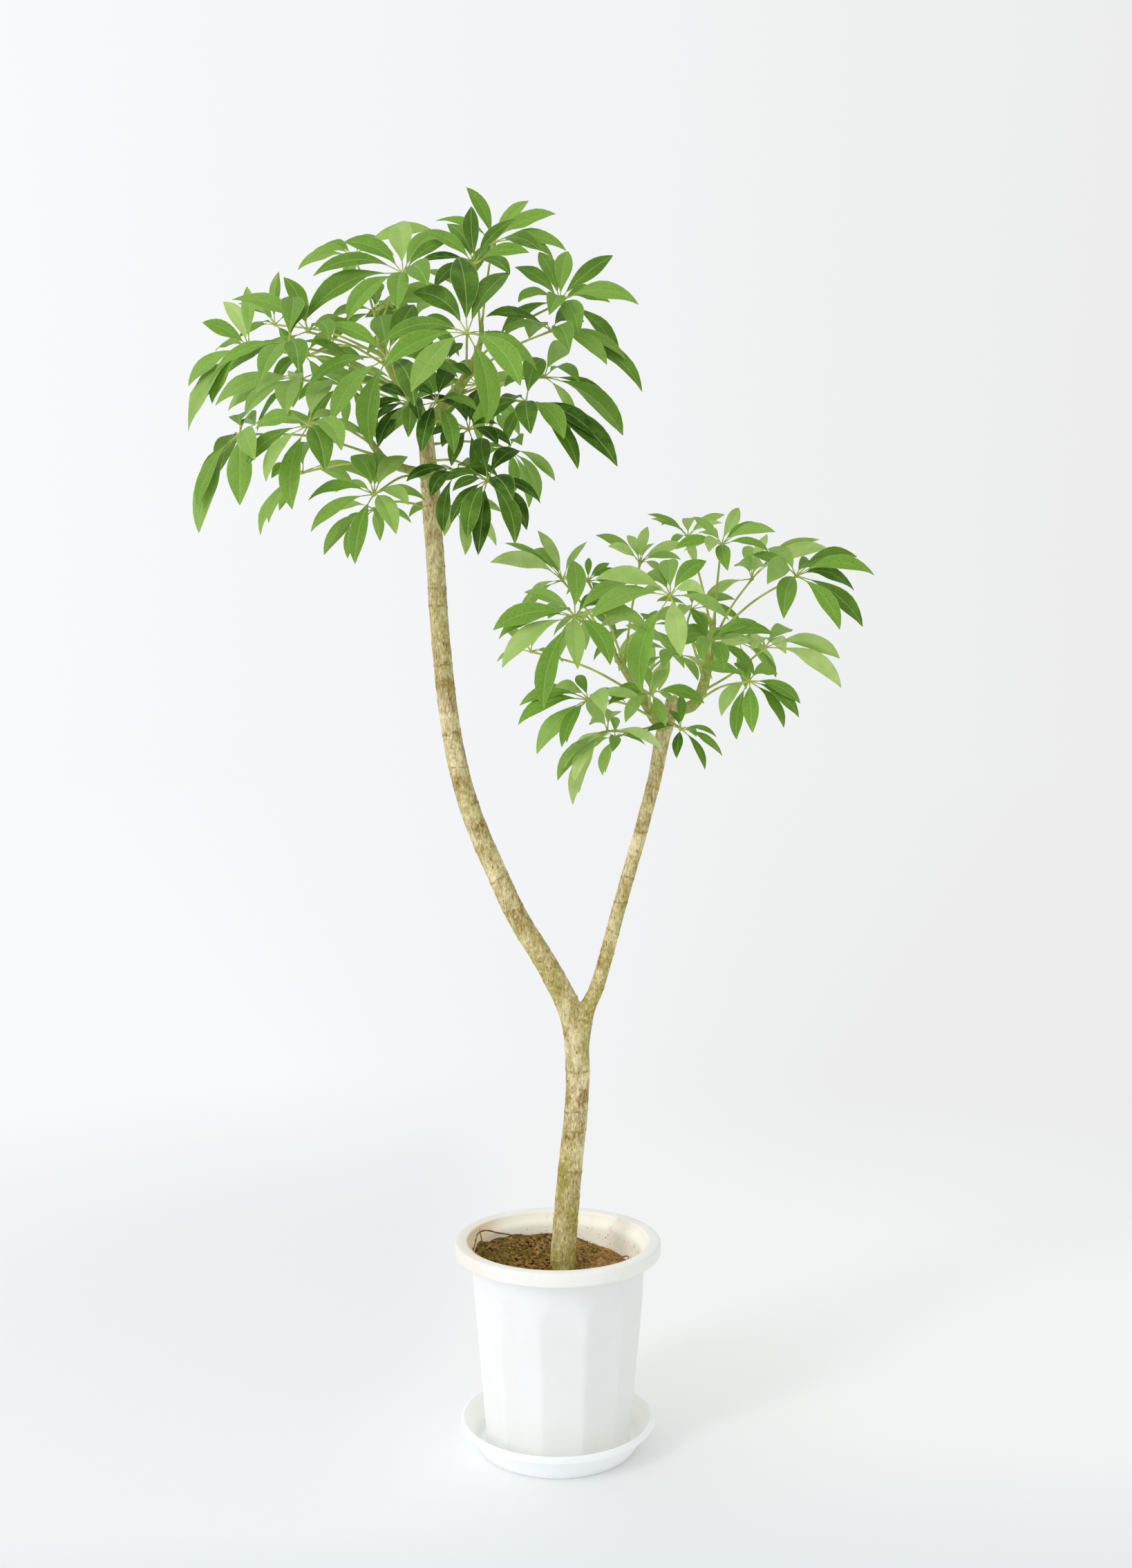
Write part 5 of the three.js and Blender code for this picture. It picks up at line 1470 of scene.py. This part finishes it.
    def turn_to_light(self, hub, chord, axis):
        """How far a blade turns its nearer face to the front, where the light comes from, in radians."""
        ahead, _, up = (part[0] for part in rib_frame(chord, axis, np.array([self.TURN_READ_AT])))
        light = EYE - hub
        light = light - ahead * (ahead @ light)
        angle = math.atan2(np.cross(up, light) @ ahead, up @ light)
        angle -= math.pi * round(angle / math.pi)
        return max(-self.MOST_TURN, min(self.MOST_TURN, self.FACING * angle))

    def leaflet(self, shape, rows, hub, chord, axis, draw, tone):
        """A blade bent along its rib, a little different from every other."""
        length_of_blade = np.linalg.norm(chord) * (1 - self.BLADE_START)
        along_rib = rows[:, 0] / self.BLADE
        share = self.BLADE_START + (1 - self.BLADE_START) * along_rib
        _, across, up = rib_frame(chord, axis, share)
        wide = length_of_blade / self.BLADE * draw.uniform(*self.WIDTHS)
        phase = draw.uniform(0, FULL_TURN)
        deep = draw.uniform(*self.WAVE_DEPTHS)
        wave = deep * np.sin(phase + along_rib * draw.uniform(*self.WAVES) + 2 * np.sign(rows[:, 1]))
        lift = rows[:, 2] * draw.uniform(*self.FOLDS)
        lift = lift + wave * (np.abs(rows[:, 1]) / self.HALF_WIDTH) ** 2 * 2
        roll = self.turn_to_light(hub, chord, axis) * gentle(along_rib, 0, self.TURNED_BY)
        roll += draw.uniform(-self.MOST_ROLL, self.MOST_ROLL)
        roll += draw.uniform(-self.MOST_TWIST, self.MOST_TWIST) * along_rib
        sweep = draw.uniform(-self.MOST_SWEEP, self.MOST_SWEEP) * length_of_blade
        sweep = sweep * along_rib * (1 - along_rib) * 2
        side = rows[:, 1] * wide
        rise = lift * wide
        turned_side = side * np.cos(roll) - rise * np.sin(roll) + sweep
        turned_rise = side * np.sin(roll) + rise * np.cos(roll)
        moved = rib_place(hub, chord, share) + across * turned_side[:, None] + up * turned_rise[:, None]
        inside = np.clip(moved * MM, np.array(FRAME_BOX[0]) + INSET, np.array(FRAME_BOX[1]) - INSET)
        return copied(shape, inside, tone=tone + draw.uniform(*self.LEAFLET_TONES))


class StageOperator(bpy.types.Operator):
    """Adds the pale floor, the soft lights and the camera"""
    bl_idname = "plant.stage"
    bl_label = "Stage"

    FLOOR_SIZE = 60.0

    # The room's light, as shares of the fill: brighter on the left, and fainter in what is mirrored
    FILL_LEFT = 1.21
    FILL_RIGHT = 0.8
    FILL_MIRRORED = 0.55

    # The key light: degrees around and above, and metres away, wide and tall
    KEY_AROUND = -46
    KEY_ABOVE = 22
    KEY_DISTANCE = 5.0
    KEY_WIDTH = 0.8
    KEY_TALL = 3.4
    AIM = (0.0, 0.0, 0.7)

    # The camera, in millimetres, and how far it sees, in metres
    SENSOR_HEIGHT = 36
    LENS = 35
    SIGHT = 200

    def light_room(self, scene, settings):
        """Light from all around, with the backdrop's tones where the camera sees past the floor."""
        world = bpy.data.worlds.new("soft_studio")
        scene.world = world
        world.use_nodes = True
        tree = world.node_tree
        tree.nodes.clear()
        place = add(tree, "TexCoord").node.outputs["Generated"]
        axes = add(tree, "SeparateXYZ", {"Vector": place}).node.outputs
        share = add(tree, "MapRange", {
            "Value": axes["X"], "From Min": -BACKDROP_TURN, "From Max": BACKDROP_TURN,
        })
        shown = add(tree, "Mix", {
            "Factor": share, "A": settings.backdrop_left, "B": settings.backdrop_right,
        }, data_type="RGBA")
        sided = add(tree, "MapRange", {
            "Value": axes["X"], "From Min": -1.0, "From Max": 1.0,
            "To Min": settings.fill * self.FILL_LEFT, "To Max": settings.fill * self.FILL_RIGHT,
        })
        rays = add(tree, "LightPath").node.outputs
        mirrored = add(tree, "MapRange", {
            "Value": rays["Is Glossy Ray"], "To Min": 1.0, "To Max": self.FILL_MIRRORED,
        })
        lit = add(tree, "Math", {"Value": sided, "Value_001": mirrored}, operation="MULTIPLY")
        strength = add(tree, "MapRange", {"Value": rays["Is Camera Ray"], "To Min": lit, "To Max": 1.0})
        light = add(tree, "Background", {"Color": shown, "Strength": strength})
        add(tree, "OutputWorld", {"Surface": light})

    def add_key(self, power):
        """A tall soft light from the left in front, which points at the plant's middle."""
        around = math.radians(self.KEY_AROUND)
        above = math.radians(self.KEY_ABOVE)
        level = math.cos(above)
        away = np.array((math.sin(around) * level, -math.cos(around) * level, math.sin(above)))
        bpy.ops.object.light_add(type="AREA", location=np.array(self.AIM) + away * self.KEY_DISTANCE)
        key = bpy.context.object
        key.name = "soft_key_light"
        key.rotation_euler = (math.pi / 2 - above, 0, around)
        key.data.shape = "RECTANGLE"
        key.data.size = self.KEY_WIDTH
        key.data.size_y = self.KEY_TALL
        key.data.energy = power
        key.data.color = linear("#fdfdff")

    def add_camera(self, scene):
        """The camera that took the photograph: level, with the horizon where the photograph has it."""
        bpy.ops.object.camera_add(location=EYE * MM, rotation=(math.pi / 2, 0, 0))
        camera = bpy.context.object
        camera.name = "photo_camera"
        camera.data.sensor_fit = "VERTICAL"
        camera.data.sensor_height = self.SENSOR_HEIGHT
        camera.data.lens = self.LENS
        camera.data.shift_y = (HORIZON_ROW - IMAGE_HEIGHT / 2) / IMAGE_HEIGHT
        camera.data.clip_end = self.SIGHT
        scene.camera = camera

    def execute(self, context):
        settings = context.scene.plant_stage
        deselect()
        bpy.ops.mesh.primitive_plane_add(size=self.FLOOR_SIZE)
        floor = context.object
        floor.name = "studio_floor"
        floor.data.materials.append(finished("pale_paper_floor", seamless_paper, settings))
        self.light_room(context.scene, settings)
        self.add_key(settings.key_power)
        self.add_camera(context.scene)
        context.scene.view_settings.view_transform = "Standard"
        context.scene.view_settings.look = "None"
        return {"FINISHED"}


OPERATORS = (
    SaucerOperator, PotOperator, SoilOperator, RootsOperator, StemsOperator, LeavesOperator, StageOperator,
)
SETTINGS = {
    "plant_saucer": SaucerSettings, "plant_pot": PotSettings, "plant_soil": SoilSettings,
    "plant_stems": StemSettings, "plant_leaves": LeafSettings, "plant_stage": StageSettings,
}


class PlantPanel(bpy.types.Panel):
    """Lists the plant's pieces and what can be changed on each"""
    bl_idname = "VIEW3D_PT_umbrella_plant"
    bl_label = "Potted umbrella plant"
    bl_space_type = "VIEW_3D"
    bl_region_type = "UI"
    bl_category = "Plant"

    def draw(self, context):
        for operator in OPERATORS:
            self.layout.operator(operator.bl_idname)
        for name, group in SETTINGS.items():
            box = self.layout.box()
            for field in group.__annotations__:
                box.prop(getattr(context.scene, name), field)


def register():
    for kind in (*SETTINGS.values(), *OPERATORS, PlantPanel):
        bpy.utils.register_class(kind)
    for name, group in SETTINGS.items():
        setattr(bpy.types.Scene, name, bpy.props.PointerProperty(type=group))


def unregister():
    for name in SETTINGS:
        delattr(bpy.types.Scene, name)
    for kind in (PlantPanel, *reversed(OPERATORS), *reversed(SETTINGS.values())):
        bpy.utils.unregister_class(kind)


def main():
    """Registers the add-on's classes and builds every piece."""
    register()
    bpy.ops.plant.saucer()
    bpy.ops.plant.pot()
    bpy.ops.plant.soil()
    bpy.ops.plant.roots()
    bpy.ops.plant.stems()
    bpy.ops.plant.leaves()
    bpy.ops.plant.stage()


if __name__ == "__main__":
    main()
